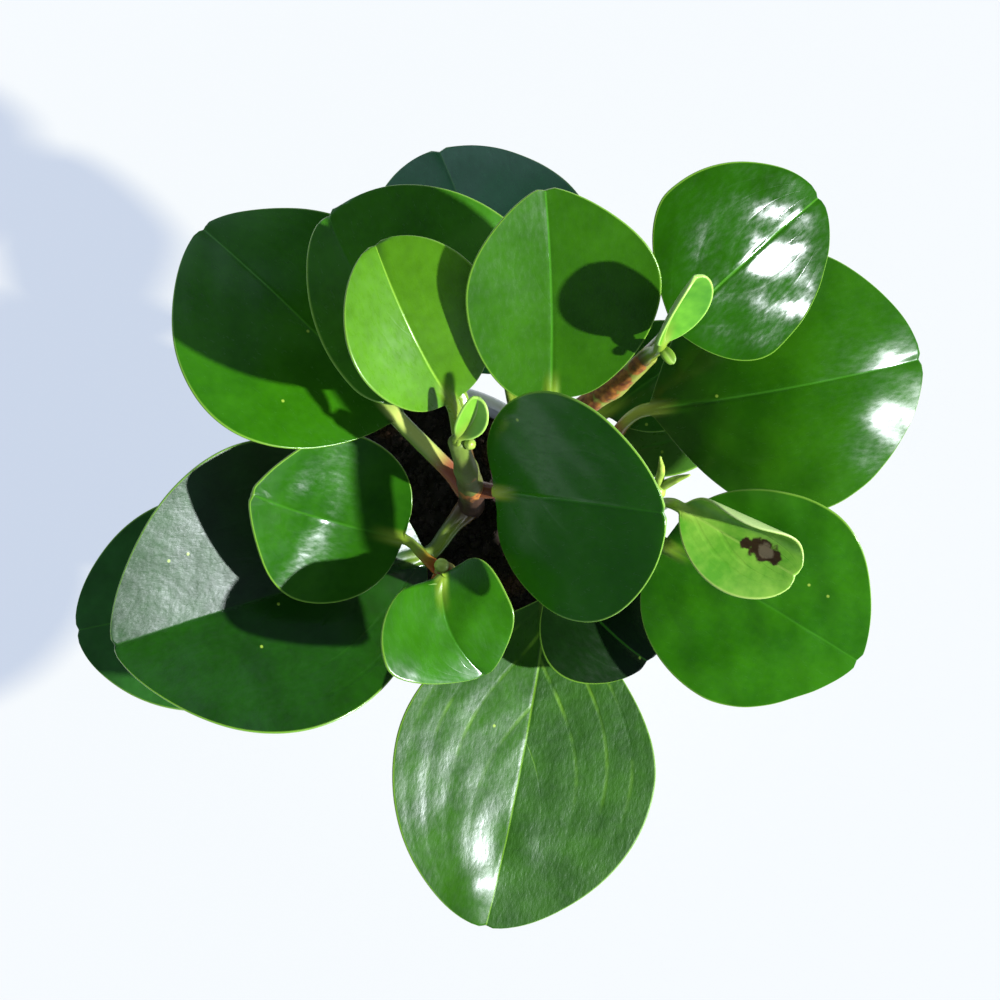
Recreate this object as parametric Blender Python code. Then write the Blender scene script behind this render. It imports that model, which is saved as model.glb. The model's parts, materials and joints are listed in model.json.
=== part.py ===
"""A baby rubber plant (Peperomia obtusifolia) in a plain white pot.

Four short stems rise from the soil and lean outward. Thick spoon-shaped leaves stand on
petioles all round them, each leaf in its own shallow socket in a stem. Lengths below are in
millimetres and are turned into metres where a mesh is made. The origin is the middle of the
pot's underside, +Z is up, and the longest leaf points along -Y.
"""

import math
from dataclasses import dataclass

import bmesh
import bpy
import numpy as np

MM = 0.001
SHARP_ANGLE = 50

# pot and soil
POT_HEIGHT = 80.0
POT_TOP_RADIUS = 39.0
POT_FOOT_RADIUS = 29.0
POT_WALL = 3.0
POT_FLOOR = 5.0
POT_EDGE = 1.2
ROUND_SIDES = 40
SOIL_TOP = 67.0
SOIL_RISE = 4.0
SOIL_SHARES = (0.96, 0.8, 0.6, 0.4, 0.2)
GAP = 0.3

# stems
STEM_RADIUS = 3.4
STEM_TOP_SHARE = 0.64
STEM_SIDES = 12
STEM_RINGS = 16
STEM_FOOT = 46.0
NODE_SWELL = 0.5
NODE_LENGTH = 3.0
TOP_ROUNDING = 0.55
HOLE_DEEPER = 2.0
SOCKET_GAP = 0.4
SOCKET_REACH = 3.0
SOCKET_SIDES = 10
BUD_SIDES = 8
SCALE_SIDES = 6
SCALE_RADII = (1.3, 0.9, 0.4)

# petioles and blades
ROOT_INSET = 1.5
OUT_HANDLE = 0.4
BACK_HANDLE = 0.28
RIM_HALF = 0.34
BLADE_HALF = 0.48
NECK_SHARE = 0.09
NOTCH = 0.9
NOTCH_HALF_WIDTH = 1.2
NOTCH_FADE = 6.0
EAR_SHARE = 0.18
RIB_DEPTH = 0.7
RIB_HALF_WIDTH = 1.6
EVEN_SHARE = 0.35
LAST_SHARE = 0.994


@dataclass
class Leaf:
    """One leaf: where its blade starts and ends, and how the blade is bent."""

    name: str
    stem: str
    height: float
    base: tuple
    tip: tuple
    width: float
    roll: float = 0.0
    arch: float = 2.0
    cup: float = 0.0
    fold: float = 3.0
    sweep: float = 0.0
    skew: float = 0.0
    peak: float = 0.5
    base_blunt: float = 0.6
    tip_blunt: float = 0.58
    lobe: float = 0.0
    rise: float = 15.0
    petiole: float = 1.7
    straight: float = 6.0
    curl_from: float = 0.0
    curl_radius: float = 0.0
    columns: tuple = (-1, -0.72, -0.4, -0.12, 0, 0.12, 0.4, 0.72, 1)
    rings: int = 11
    bends: int = 4


SMALL = {"columns": (-1, -0.66, -0.15, 0, 0.15, 0.66, 1), "rings": 8}
TINY = {"columns": (-1, -0.45, 0, 0.45, 1), "rings": 6, "straight": 1.5, "bends": 2}

LEAVES = [
    Leaf("leaf_front_large", "stem_right", 80, (30.6, -15.9, 92.6), (14.5, -98.4, 107.3), 68.5,
         roll=13.5, arch=3.3, cup=0.8, fold=4, sweep=-0.4, skew=-0.01, peak=0.53, base_blunt=1.2,
         tip_blunt=0.59, lobe=3.7),
    Leaf("leaf_left_large", "stem_middle", 86, (-1.6, -6.5, 89.3), (-75.1, -27.1, 123), 72.2,
         roll=1, arch=1.9, cup=2.6, fold=9, sweep=1.1, skew=0.06, peak=0.51, base_blunt=0.64,
         tip_blunt=0.66, petiole=2.2),
    Leaf("leaf_left_small", "stem_left", 111, (-6, -1.8, 110.4), (-40.4, 9.3, 134.4), 43.4,
         roll=3.5, arch=-6.8, cup=0.9, fold=0.5, sweep=-1.5, skew=0.03, peak=0.43,
         base_blunt=0.38, tip_blunt=0.95, petiole=1.3, **SMALL),
    Leaf("leaf_front_small", "stem_left", 116.4, (3.9, -11.1, 123), (14, -34.2, 121.5), 35.1,
         roll=20, arch=2, fold=6, sweep=4, skew=0.12, base_blunt=0.25, tip_blunt=0.92, lobe=3, **SMALL),
    Leaf("leaf_front_low", "stem_right", 98, (33, -10, 108), (55, -32.5, 104), 33.5,
         arch=3, fold=1, sweep=1.5, **SMALL),
    Leaf("leaf_centre", "stem_middle", 117, (17.3, 10, 130), (54, 5.2, 160), 56, roll=-24,
         arch=2, sweep=-1, skew=0.04, base_blunt=0.52, tip_blunt=0.57, lobe=3.5, petiole=1.5),
    Leaf("leaf_upper_left_young", "stem_middle", 127.5, (6.6, 31.1, 137), (-9.9, 65, 154), 35.2,
         roll=-15.5, arch=5, cup=1.5, fold=6, sweep=-2.7, skew=0.04, peak=0.6, base_blunt=0.73,
         tip_blunt=0.51, lobe=2.4, rise=10, **SMALL),
    Leaf("leaf_upper_centre", "stem_upper", 108, (29.8, 31.5, 137), (28, 76.6, 160), 45.4,
         roll=-11.5, arch=0.8, cup=1, fold=2.7, sweep=0.6, skew=0.1, peak=0.55, base_blunt=0.71,
         tip_blunt=0.76, lobe=4.1),
    Leaf("leaf_upper_right", "stem_upper", 126, (58.3, 47.8, 142), (92.6, 79.1, 135), 47.8,
         roll=-23, arch=2, cup=-1.5, fold=-0.5, sweep=-1.4, skew=-0.03, peak=0.38,
         base_blunt=0.73, tip_blunt=0.56, rise=0, straight=8.5),
    Leaf("leaf_right_large", "stem_right", 90, (54.9, 30.5, 111.5), (119.9, 42.2, 119.9), 65.8,
         roll=-4.7, arch=11.2, cup=-10, fold=3.2, sweep=0.5, skew=-0.04, peak=0.49,
         base_blunt=1.01, tip_blunt=0.61, rise=10),
    Leaf("leaf_right_lower", "stem_right", 110, (57.7, -2.6, 121.7), (105, -31, 119.6), 57.4,
         roll=-19.6, arch=3.4, cup=1.5, fold=0.1, sweep=-1.4, peak=0.5, base_blunt=0.43,
         tip_blunt=0.75, lobe=1.1),
    Leaf("leaf_left_upper", "stem_middle", 112, (-7.3, 28.3, 116), (-54.6, 74.2, 118), 63,
         roll=-19, arch=3, cup=3, skew=-0.11, peak=0.46, base_blunt=0.66, tip_blunt=0.67,
         rise=10, petiole=2.1),
    Leaf("leaf_upper_left_dark", "stem_middle", 122, (7.2, 34.8, 127), (-22, 74, 138), 56,
         roll=-16, arch=2, cup=1, sweep=-4.4, skew=0.38, peak=0.32, tip_blunt=0.48, rise=10),
    Leaf("leaf_back_low", "stem_upper", 84, (20, 40.2, 104), (2.5, 97.2, 96), 59, roll=-9,
         arch=4, sweep=1, skew=0.03, peak=0.49, tip_blunt=0.53, rise=5),
    Leaf("leaf_left_low", "stem_left", 78, (-29, -18, 84), (-92, -26, 88), 56,
         sweep=1.5, skew=0.05, peak=0.47),
    Leaf("leaf_right_under", "stem_right", 84.5, (46.4, 19.1, 92.5), (77, 27.5, 92), 18, arch=3,
         fold=1, rise=5, **SMALL),
    Leaf("leaf_right_back", "stem_upper", 97, (45, 30.5, 98), (70, 48.3, 101), 28, arch=3,
         fold=1, rise=0, **SMALL),
    Leaf("leaf_right_curled", "stem_right", 119, (60.6, 6.2, 134.5), (86.6, -9.6, 140), 23, skew=0.04,
         cup=2, fold=1, arch=-1, peak=0.56, base_blunt=0.7, tip_blunt=0.5, curl_from=4.5,
         curl_radius=3.0, petiole=1.4, rise=5,
         columns=(-1, -0.87, -0.74, -0.61, -0.48, -0.36, -0.18, 0, 0.18, 0.6, 1)),
]

# young leaves that are still one piece with their stem
SPROUTS = [
    Leaf("sprout_upper", "stem_upper", 135, (54.8, 43.8, 149), (61.2, 56.9, 164), 14.5, arch=-1,
         fold=4, roll=-60, rise=60, petiole=1.4, **TINY),
    Leaf("bract_upper", "stem_upper", 134.5, (54.8, 43.2, 146.3), (57.6, 39, 148.5), 3, arch=1, fold=0,
         rise=60, petiole=0.9, **TINY),
    Leaf("sprout_middle", "stem_middle", 136, (8.4, 22.2, 143.5), (13, 31.2, 150), 7, arch=-1, fold=2,
         sweep=1.2, rise=60, petiole=0.9, **TINY),
]

# buds: stem, middle, half width, half height
BUDS = [
    ("stem_middle", (11, 21, 140.5), 1.4, 2.0),
    ("stem_left", (3.7, -8.0, 119.1), 1.8, 2.2),
    ("stem_right", (54.8, 10.2, 135), 2.3, 3.2),
]

# pointed scales on the right stem's bud: root, middle and point
SCALES = [
    ((55, 11, 136), (55.5, 15, 140), (55, 18, 143)),
    ((55.5, 11, 136), (59, 12.8, 140), (62, 13.8, 142)),
]

STEMS = {
    "stem_upper": [(19, 13, STEM_FOOT), (25, 20, 85), (36, 29, 114), (47, 36.5, 128), (53, 42, 136.5)],
    "stem_middle": [(9, 4, STEM_FOOT), (10.5, 7, 90), (11, 10.5, 116), (9.5, 17, 131), (8, 21.5, 140)],
    "stem_left": [(7, -18, STEM_FOOT), (6.5, -15, 90), (4.5, -9.5, 118)],
    "stem_right": [(24, -3, STEM_FOOT), (31, 1, 82), (43, 5, 112), (53.5, 8.6, 132)],
}


def clear_scene():
    for item in list(bpy.data.objects):
        bpy.data.objects.remove(item, do_unlink=True)


def make_material(name, colour, roughness, metallic=0.0):
    material = bpy.data.materials.new(name)
    material.use_nodes = True
    shader = material.node_tree.nodes["Principled BSDF"]
    shader.inputs["Base Color"].default_value = (*colour, 1.0)
    shader.inputs["Roughness"].default_value = roughness
    shader.inputs["Metallic"].default_value = metallic
    return material


def make_object(name, points, faces, material):
    """A smooth-shaded object from points in millimetres."""
    mesh = bpy.data.meshes.new(name)
    mesh.from_pydata([tuple(float(c) * MM for c in p) for p in points], [], faces)
    body = bmesh.new()
    body.from_mesh(mesh)
    bmesh.ops.recalc_face_normals(body, faces=body.faces)
    body.to_mesh(mesh)
    body.free()
    mesh.materials.append(material)
    mesh.shade_smooth()
    mesh.set_sharp_from_angle(angle=math.radians(SHARP_ANGLE))
    item = bpy.data.objects.new(name, mesh)
    bpy.context.scene.collection.objects.link(item)
    return item


def unit(vector):
    return vector / np.linalg.norm(vector)


def smooth_path(points, count):
    """Catmull-Rom points through the given ones, evenly spread in the parameter."""
    knots = np.array(points, float)
    ends = np.vstack([2 * knots[0] - knots[1], knots, 2 * knots[-1] - knots[-2]])
    out = []
    for where in np.linspace(0, len(knots) - 1, count):
        i = min(int(where), len(knots) - 2)
        t = where - i
        a, b, c, d = ends[i : i + 4]
        out.append(0.5 * (2 * b + (c - a) * t + (2 * a - 5 * b + 4 * c - d) * t**2
                          + (3 * b - a - 3 * c + d) * t**3))
    return np.array(out)


def path_frames(path):
    """Tangent and two cross directions at each point of a path, without twist."""
    tangents = [unit(v) for v in np.gradient(path, axis=0)]
    first = np.cross(tangents[0], (1.0, 0.0, 0.0))
    if np.linalg.norm(first) < 0.2:
        first = np.cross(tangents[0], (0.0, 1.0, 0.0))
    frames = []
    across = unit(first)
    for tangent in tangents:
        across = unit(across - tangent * np.dot(across, tangent))
        frames.append((tangent, across, np.cross(tangent, across)))
    return frames


def tube(path, radii, sides):
    """Points and faces of a closed round tube."""
    points = []
    turns = np.arange(sides) * 2 * math.pi / sides
    for centre, (_, a, b), radius in zip(path, path_frames(path), radii):
        points += [centre + radius * (a * math.cos(t) + b * math.sin(t)) for t in turns]
    faces = []
    for ring in range(len(path) - 1):
        low, high = ring * sides, (ring + 1) * sides
        for k in range(sides):
            m = (k + 1) % sides
            faces.append((low + k, low + m, high + m, high + k))
    faces.append(tuple(range(sides)))
    faces.append(tuple(range((len(path) - 1) * sides, len(path) * sides)))
    return points, faces


def blade_axes(leaf):
    """Start point, directions along, across and out of the blade, and its length."""
    base, tip = np.array(leaf.base, float), np.array(leaf.tip, float)
    length = np.linalg.norm(tip - base)
    along = (tip - base) / length
    side = unit(np.cross(along, (0, 0, 1)))
    up = np.cross(side, along)
    turn = math.radians(leaf.roll)
    across = side * math.cos(turn) + up * math.sin(turn)
    normal = up * math.cos(turn) - side * math.sin(turn)
    return base, along, across, normal, length


def half_width(leaf, s, v):
    """Distance from midrib to margin at share s of the length, on the side of v."""
    to_base = 1 - np.clip((leaf.peak - s) / leaf.peak, 0, 1) ** 2
    to_tip = 1 - np.clip((s - leaf.peak) / (1 - leaf.peak), 0, 1) ** 2
    share = to_base**leaf.base_blunt * to_tip**leaf.tip_blunt
    wide = leaf.width / 2 * share * (1 + leaf.skew * np.sign(v))
    neck = leaf.petiole * (1 - s) ** 2
    return (wide**4 + neck**4) ** 0.25


def curl(leaf, s, x, lift):
    """Roll the left side of a blade up and back over its own upper face."""
    if leaf.curl_radius == 0:
        return x, lift
    past = np.maximum(-x - leaf.curl_from * (0.25 + 0.75 * s), 0)
    turn = past / leaf.curl_radius
    x = x + past - leaf.curl_radius * np.sin(turn)
    return x, lift + leaf.curl_radius * (1 - np.cos(turn))


def blade_middle(leaf, s, v):
    """Middle of the blade at share s of its length and share v of its half width."""
    base, along, across, normal, length = blade_axes(leaf)
    x = half_width(leaf, s, v) * v
    y = length * s
    forward = NOTCH * (1 - np.exp(-((x / NOTCH_HALF_WIDTH) ** 2)))
    y = y + forward * np.exp(-(((length - y) / NOTCH_FADE) ** 2))
    ear = 1 - np.exp(-((x / (EAR_SHARE * leaf.width)) ** 2))
    y = y - leaf.lobe * ear * (1 - s) ** 3
    q = x / (leaf.width / 2)
    bow = 4 * s * (1 - s)
    lift = leaf.arch * bow + leaf.cup * q**2 + leaf.fold * (np.sqrt(q**2 + 0.01) - 0.1)
    x, lift = curl(leaf, s, x, lift)
    x = x + leaf.sweep * bow
    return base + sum(np.multiply.outer(a, b) for a, b in ((y, along), (x, across), (lift, normal)))


def blade_normal(leaf, s, v):
    step = 0.004
    run = blade_middle(leaf, s + step, v) - blade_middle(leaf, s - step, v)
    low, high = np.clip(v - step, -1, 1), np.clip(v + step, -1, 1)
    over = blade_middle(leaf, s, high) - blade_middle(leaf, s, low)
    out = np.cross(over, run)
    return out / np.linalg.norm(out, axis=-1, keepdims=True)


def stem_point(leaf):
    """Where the leaf's socket axis crosses the middle of its stem."""
    path = smooth_path(STEMS[leaf.stem], 200)
    return path[np.argmin(abs(path[:, 2] - leaf.height))]


def petiole_root(leaf):
    """Middle of the stem at the socket, and the direction in which the petiole leaves."""
    centre = stem_point(leaf)
    flat = np.array(leaf.base, float) - centre
    flat[2] = 0
    rise = math.radians(leaf.rise)
    return centre, unit(flat) * math.cos(rise) + np.array((0, 0, math.sin(rise)))


def petiole_path(leaf):
    """From inside the socket, straight out of the stem, then in a curve to the blade."""
    centre, out = petiole_root(leaf)
    base, along, across, normal, length = blade_axes(leaf)
    run = unit(along * length + 4 * leaf.arch * normal + 4 * leaf.sweep * across)
    start = centre + out * leaf.straight
    reach = np.linalg.norm(base - start)
    handles = (start, start + OUT_HANDLE * reach * out, base - BACK_HANDLE * reach * run, base)
    points = [centre + out * min(ROOT_INSET, leaf.straight / 3)]
    for t in np.linspace(0, 1, leaf.bends + 1)[:-1]:
        u = 1 - t
        weights = (u**3, 3 * u * u * t, 3 * u * t * t, t**3)
        points.append(sum(w * h for w, h in zip(weights, handles)))
    return np.array(points), run


def petiole_rings(leaf):
    """Rings round the petiole with the same columns as the blade, so that they join up."""
    path, run = petiole_path(leaf)
    tangents = [unit(v) for v in np.gradient(np.vstack([path, leaf.base]), axis=0)][:-1]
    tangents[0] = unit(path[1] - path[0])
    _, _, across, _, _ = blade_axes(leaf)
    columns = np.array(leaf.columns, float)
    radius = leaf.petiole
    height = np.sqrt(np.maximum(1 - columns**2, 0)) * (radius - RIM_HALF) + RIM_HALF
    over = columns * radius
    rings = []
    for centre, tangent in zip(path, tangents):
        x = unit(across - tangent * np.dot(across, tangent))
        z = np.cross(x, tangent)
        top = centre + np.multiply.outer(over, x) + np.multiply.outer(height, z)
        low = centre + np.multiply.outer(over, x) - np.multiply.outer(height, z)
        rings.append((top, low))
    return rings


def blade_rings(leaf):
    """Rings from the neck to the tip. The neck is as thick as the petiole."""
    columns = np.array(leaf.columns, float)
    even = np.linspace(0, 1, leaf.rings)
    eased = 0.5 - 0.5 * np.cos(even * math.pi)
    shares = LAST_SHARE * (EVEN_SHARE * even + (1 - EVEN_SHARE) * eased)
    rings = []
    for s in shares:
        middle = blade_middle(leaf, np.full_like(columns, s), columns)
        normal = blade_normal(leaf, np.full_like(columns, s), columns)
        flat = RIM_HALF + (BLADE_HALF - RIM_HALF) * (1 - columns**2)
        x = half_width(leaf, s, columns) * columns
        round_part = np.sqrt(np.clip(1 - (x / leaf.petiole) ** 2, 0, 1))
        neck = (leaf.petiole - BLADE_HALF) * round_part * math.exp(-((s / NECK_SHARE) ** 2))
        rib = RIB_DEPTH * (math.exp(-3 * s) - math.exp(-23 * s)) * np.exp(-((x / RIB_HALF_WIDTH) ** 2))
        top = middle + normal * (flat + 0.6 * neck)[:, None]
        low = middle - normal * (flat + neck + rib)[:, None]
        rings.append((top, low))
    return rings


def ring_faces(count, columns):
    """Triangles of the two faces, split alike, with the margins and both ends closed."""
    faces = []
    size = 2 * columns
    for ring in range(count - 1):
        for k in range(columns - 1):
            a, b = ring * size + k, ring * size + k + 1
            c, d = a + size, b + size
            faces += [(a, b, d), (a, d, c)]
            a, b, c, d = a + columns, b + columns, c + columns, d + columns
            faces += [(a, d, b), (a, c, d)]
        for k in (0, columns - 1):
            a, b = ring * size + k, ring * size + columns + k
            faces.append((a, b, b + size, a + size))
    for ring in (0, count - 1):
        first = ring * size
        for k in range(columns - 1):
            faces.append((first + k, first + k + 1, first + columns + k + 1, first + columns + k))
    return faces


def build_leaf(leaf, material):
    rings = petiole_rings(leaf) + blade_rings(leaf)
    points = [point for top, low in rings for point in (*top, *low)]
    return make_object(leaf.name, points, ring_faces(len(rings), len(leaf.columns)), material)


def stem_radii(name, path):
    """Slimmer toward the top, with a swollen ring where each leaf sits."""
    share = np.linspace(0, 1, len(path))
    radii = STEM_RADIUS * (1 - (1 - STEM_TOP_SHARE) * share)
    for leaf in LEAVES:
        if leaf.stem == name:
            away = np.linalg.norm(path - stem_point(leaf), axis=1)
            radii = radii + NODE_SWELL * np.exp(-((away / NODE_LENGTH) ** 2))
    radii[-1] *= TOP_ROUNDING
    return radii


def cut(item, cutters):
    """Take the cutters out of the item and remove them."""
    for cutter in cutters:
        step = item.modifiers.new("Cut", "BOOLEAN")
        step.operation = "DIFFERENCE"
        step.solver = "EXACT"
        step.object = cutter
    bake(item)
    for cutter in cutters:
        bpy.data.objects.remove(cutter, do_unlink=True)


def bake(item):
    """Keep the shape that the item's modifiers give."""
    graph = bpy.context.evaluated_depsgraph_get()
    mesh = bpy.data.meshes.new_from_object(item.evaluated_get(graph))
    item.modifiers.clear()
    item.data = mesh


def fuse(item, others):
    """Join the others to the item as one body and remove them."""
    group = bpy.data.collections.new("others")
    bpy.context.scene.collection.children.link(group)
    for other in others:
        bpy.context.scene.collection.objects.unlink(other)
        group.objects.link(other)
    step = item.modifiers.new("Join", "BOOLEAN")
    step.operation = "UNION"
    step.solver = "EXACT"
    step.operand_type = "COLLECTION"
    step.collection = group
    bake(item)
    for other in others:
        bpy.data.objects.remove(other, do_unlink=True)
    bpy.data.collections.remove(group)


def build_bud(centre, half_width, half_height, material):
    """A closed egg shape, turned round the vertical."""
    turns = np.linspace(0, math.pi, 6)
    path = np.array([np.array(centre) - (0, 0, half_height * math.cos(t)) for t in turns])
    radii = [half_width * max(math.sin(t), 0.15) for t in turns]
    return make_object("bud", *tube(path, radii, BUD_SIDES), material)


def growth_on(name, material):
    """The young leaves, buds and scales of one stem."""
    found = [build_leaf(leaf, material) for leaf in SPROUTS if leaf.stem == name]
    found += [build_bud(*rest, material) for stem, *rest in BUDS if stem == name]
    if name == "stem_right":
        for scale in SCALES:
            shape = tube(np.array(scale, float), SCALE_RADII, SCALE_SIDES)
            found.append(make_object("scale", *shape, material))
    return found


def stem_path(name):
    """Points along a stem's middle, ending in a short rounded top."""
    path = smooth_path(STEMS[name], STEM_RINGS)
    return np.vstack([path, path[-1] + unit(path[-1] - path[-2])])


def build_stem(name, material):
    path = stem_path(name)
    points, faces = tube(path, stem_radii(name, path), STEM_SIDES)
    stem = make_object(name, points, faces, material)
    fuse(stem, growth_on(name, material))
    cutters = []
    for leaf in LEAVES:
        if leaf.stem == name:
            centre, out = petiole_root(leaf)
            near, far = ROOT_INSET - GAP, leaf.straight + SOCKET_REACH
            radius = leaf.petiole / math.cos(math.pi / SOCKET_SIDES) + SOCKET_GAP
            hole = tube(np.array([centre + out * near, centre + out * far]), [radius] * 2, SOCKET_SIDES)
            cutters.append(make_object("socket", *hole, material))
    cut(stem, cutters)
    return stem


def lathe(profile, sides):
    """Points and faces of a profile turned round Z. It starts and ends on the axis."""
    points = [(0, 0, profile[0][1])]
    turns = np.arange(sides) * 2 * math.pi / sides
    for radius, height in profile[1:-1]:
        points += [(radius * math.cos(t), radius * math.sin(t), height) for t in turns]
    points.append((0, 0, profile[-1][1]))
    rings = len(profile) - 2
    faces = []
    for k in range(sides):
        m = (k + 1) % sides
        faces.append((0, 1 + m, 1 + k))
        for ring in range(rings - 1):
            low, high = 1 + ring * sides, 1 + (ring + 1) * sides
            faces.append((low + k, low + m, high + m, high + k))
        last = 1 + (rings - 1) * sides
        faces.append((last + k, last + m, len(points) - 1))
    return points, faces


def pot_radius(height):
    return POT_FOOT_RADIUS + (POT_TOP_RADIUS - POT_FOOT_RADIUS) * height / POT_HEIGHT


def arc(middle_radius, middle_height, radius, start, end, steps):
    """Points of a quarter or half round in the profile, angles in degrees."""
    turns = np.radians(np.linspace(start, end, steps))
    return [(middle_radius + radius * math.cos(t), middle_height + radius * math.sin(t)) for t in turns]


def build_pot(material):
    """A tapered pot with a flat underside, a half-round lip and an even wall."""
    foot = arc(POT_FOOT_RADIUS - POT_EDGE, POT_EDGE, POT_EDGE, -90, -10, 3)
    half = POT_WALL / 2
    lip = arc(POT_TOP_RADIUS - half, POT_HEIGHT - half, half, 0, 180, 5)
    corner = pot_radius(POT_FLOOR + 2 * POT_EDGE) - POT_WALL - 2 * POT_EDGE
    floor = arc(corner, POT_FLOOR + 2 * POT_EDGE, 2 * POT_EDGE, 0, -90, 3)
    profile = [(0, 0), *foot, *lip, *floor, (0, POT_FLOOR)]
    return make_object("pot", *lathe(profile, ROUND_SIDES), material)


def soil_bump(x, y):
    """Uneven height of the soil's surface."""
    swell = 0.9 * math.sin(0.31 * x + 1.0) * math.sin(0.27 * y)
    return swell + 0.5 * math.sin(0.62 * x + 0.5 * y) + 0.4 * math.sin(0.9 * y - 0.4 * x)


def build_soil(material):
    """A plug that fills the pot with a thin gap, domed and uneven on top, with stem holes."""
    low = POT_FLOOR + GAP
    wall = [(pot_radius(z) - POT_WALL - GAP, z) for z in (low + 2 * POT_EDGE, SOIL_TOP - 1)]
    foot = (wall[0][0] - 2 * POT_EDGE, low)
    top = [(wall[1][0] * share, SOIL_TOP + SOIL_RISE * (1 - share**2)) for share in SOIL_SHARES]
    points, faces = lathe([(0, low), foot, *wall, *top, (0, SOIL_TOP + SOIL_RISE)], ROUND_SIDES)
    rough = [(x, y, z + soil_bump(x, y) if z >= SOIL_TOP else z) for x, y, z in points]
    soil = make_object("soil", rough, faces, material)
    cutters = []
    for name in STEMS:
        path = stem_path(name)
        path = path[path[:, 2] < SOIL_TOP + 20]
        path = np.vstack([path[0] - HOLE_DEEPER * unit(path[1] - path[0]), path])
        radii = [STEM_RADIUS + 2 * GAP] * len(path)
        cutters.append(make_object("hole", *tube(path, radii, STEM_SIDES), material))
    cut(soil, cutters)
    return soil


def main():
    clear_scene()
    leaf_green = make_material("leaf_green", (0.04, 0.17, 0.015), 0.3)
    stem_brown = make_material("stem_green_brown", (0.2, 0.17, 0.04), 0.5)
    for leaf in LEAVES:
        build_leaf(leaf, leaf_green)
    for name in STEMS:
        build_stem(name, stem_brown)
    build_soil(make_material("potting_soil", (0.02, 0.012, 0.008), 0.95))
    build_pot(make_material("white_glaze", (0.85, 0.86, 0.88), 0.25))


main()
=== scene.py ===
# %% [markdown]
# # A baby rubber plant in a plain white pot
#
# The plant is *Peperomia obtusifolia*: thick glossy leaves on short fleshy stems, seen from straight
# above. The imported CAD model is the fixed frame. It gives the pot, the soil, four stems and eighteen
# leaves as plain solids, and this lesson puts a finer surface in the place of each one.

# %% load the frame
import json
import math
from dataclasses import dataclass

import bmesh
import bpy
import numpy as np
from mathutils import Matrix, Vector

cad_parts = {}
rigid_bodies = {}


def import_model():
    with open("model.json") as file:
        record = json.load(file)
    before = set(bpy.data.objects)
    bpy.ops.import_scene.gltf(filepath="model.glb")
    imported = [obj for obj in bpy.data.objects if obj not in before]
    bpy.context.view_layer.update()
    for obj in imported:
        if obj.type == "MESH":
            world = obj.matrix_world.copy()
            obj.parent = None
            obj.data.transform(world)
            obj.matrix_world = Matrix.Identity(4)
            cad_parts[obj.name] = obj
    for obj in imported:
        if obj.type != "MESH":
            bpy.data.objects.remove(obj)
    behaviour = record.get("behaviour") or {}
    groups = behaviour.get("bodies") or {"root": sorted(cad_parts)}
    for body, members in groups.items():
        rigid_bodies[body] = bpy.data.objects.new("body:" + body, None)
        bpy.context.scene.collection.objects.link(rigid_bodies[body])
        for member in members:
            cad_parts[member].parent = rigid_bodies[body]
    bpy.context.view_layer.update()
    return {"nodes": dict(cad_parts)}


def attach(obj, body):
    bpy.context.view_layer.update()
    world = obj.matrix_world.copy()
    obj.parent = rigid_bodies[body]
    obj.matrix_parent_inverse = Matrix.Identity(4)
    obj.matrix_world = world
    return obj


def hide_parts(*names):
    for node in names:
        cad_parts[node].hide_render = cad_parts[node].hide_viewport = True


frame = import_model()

print("nodes in the frame:", len(frame["nodes"]))

# %% [markdown]
# ## Camera
#
# The photograph looks straight down from about half a metre. A camera with no rotation looks along
# -Z with +Y at the top of the picture, so only its place and its lens have to be found. The lens is
# a little long, which keeps the tall leaves from growing too much toward the edge.

# %% camera
CAMERA_PLACE = (0.018, 0.008, 0.560)
LENS_MM = 65.0
SENSOR_MM = 36.0
scene = bpy.context.scene
camera = bpy.data.objects.new("camera", bpy.data.cameras.new("camera"))
camera.data.lens = LENS_MM
camera.data.sensor_width = SENSOR_MM
camera.location = CAMERA_PLACE
scene.collection.objects.link(camera)
scene.camera = camera
scene.view_settings.view_transform = "Standard"
print("camera", CAMERA_PLACE, "lens", LENS_MM)

# %% [markdown]
# ## Colours and nodes
#
# Colours are written as they look on a screen, and one function turns them into the linear light that
# shaders work in. A second function adds any node: its settings are the node's own properties or the
# values of its inputs, and its links join inputs to the outputs of other nodes.

# %% colour and node helpers
def linear(code):
    """Linear colour of a screen colour such as 3a7a28."""
    parts = [int(code[i : i + 2], 16) / 255 for i in (0, 2, 4)]
    return tuple(c / 12.92 if c <= 0.04045 else ((c + 0.055) / 1.055) ** 2.4 for c in parts) + (1.0,)


def add(tree, kind, settings=None, links=None):
    """A new node with its settings and links. A link may name a node, for its first output."""
    node = tree.nodes.new(kind)
    for key, value in (settings or {}).items():
        if isinstance(key, str) and hasattr(node, key):
            setattr(node, key, value)
        else:
            node.inputs[key].default_value = value
    for key, source in (links or {}).items():
        socket = source.outputs[0] if isinstance(source, bpy.types.Node) else source
        tree.links.new(socket, node.inputs[key])
    return node


def new_material(name):
    """An empty material with its tree and its shader, ready for links."""
    material = bpy.data.materials.new(name)
    material.use_nodes = True
    tree = material.node_tree
    return material, tree, tree.nodes["Principled BSDF"]


def per_metre(size_mm):
    """Scale of a pattern whose patches have a real size: how many go into a metre."""
    return round(1000 / size_mm)


print("leaf green in linear light:", [round(c, 3) for c in linear("2f6b1c")])
print("a grain of 2 mm has the scale", per_metre(2))

# %% [markdown]
# ## Light and floor
#
# One low lamp at the right throws the crisp shadows of the leaves to the left, and a pale bluish room
# fills them. Straight above, where the camera hangs, the room is dark: that is what keeps level
# leaves deep green instead of milky. What the wax mirrors is darker than the room that lights
# the plant, but for one bluish window behind it. The floor is a plain white table that is bright
# even in shadow.

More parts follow.
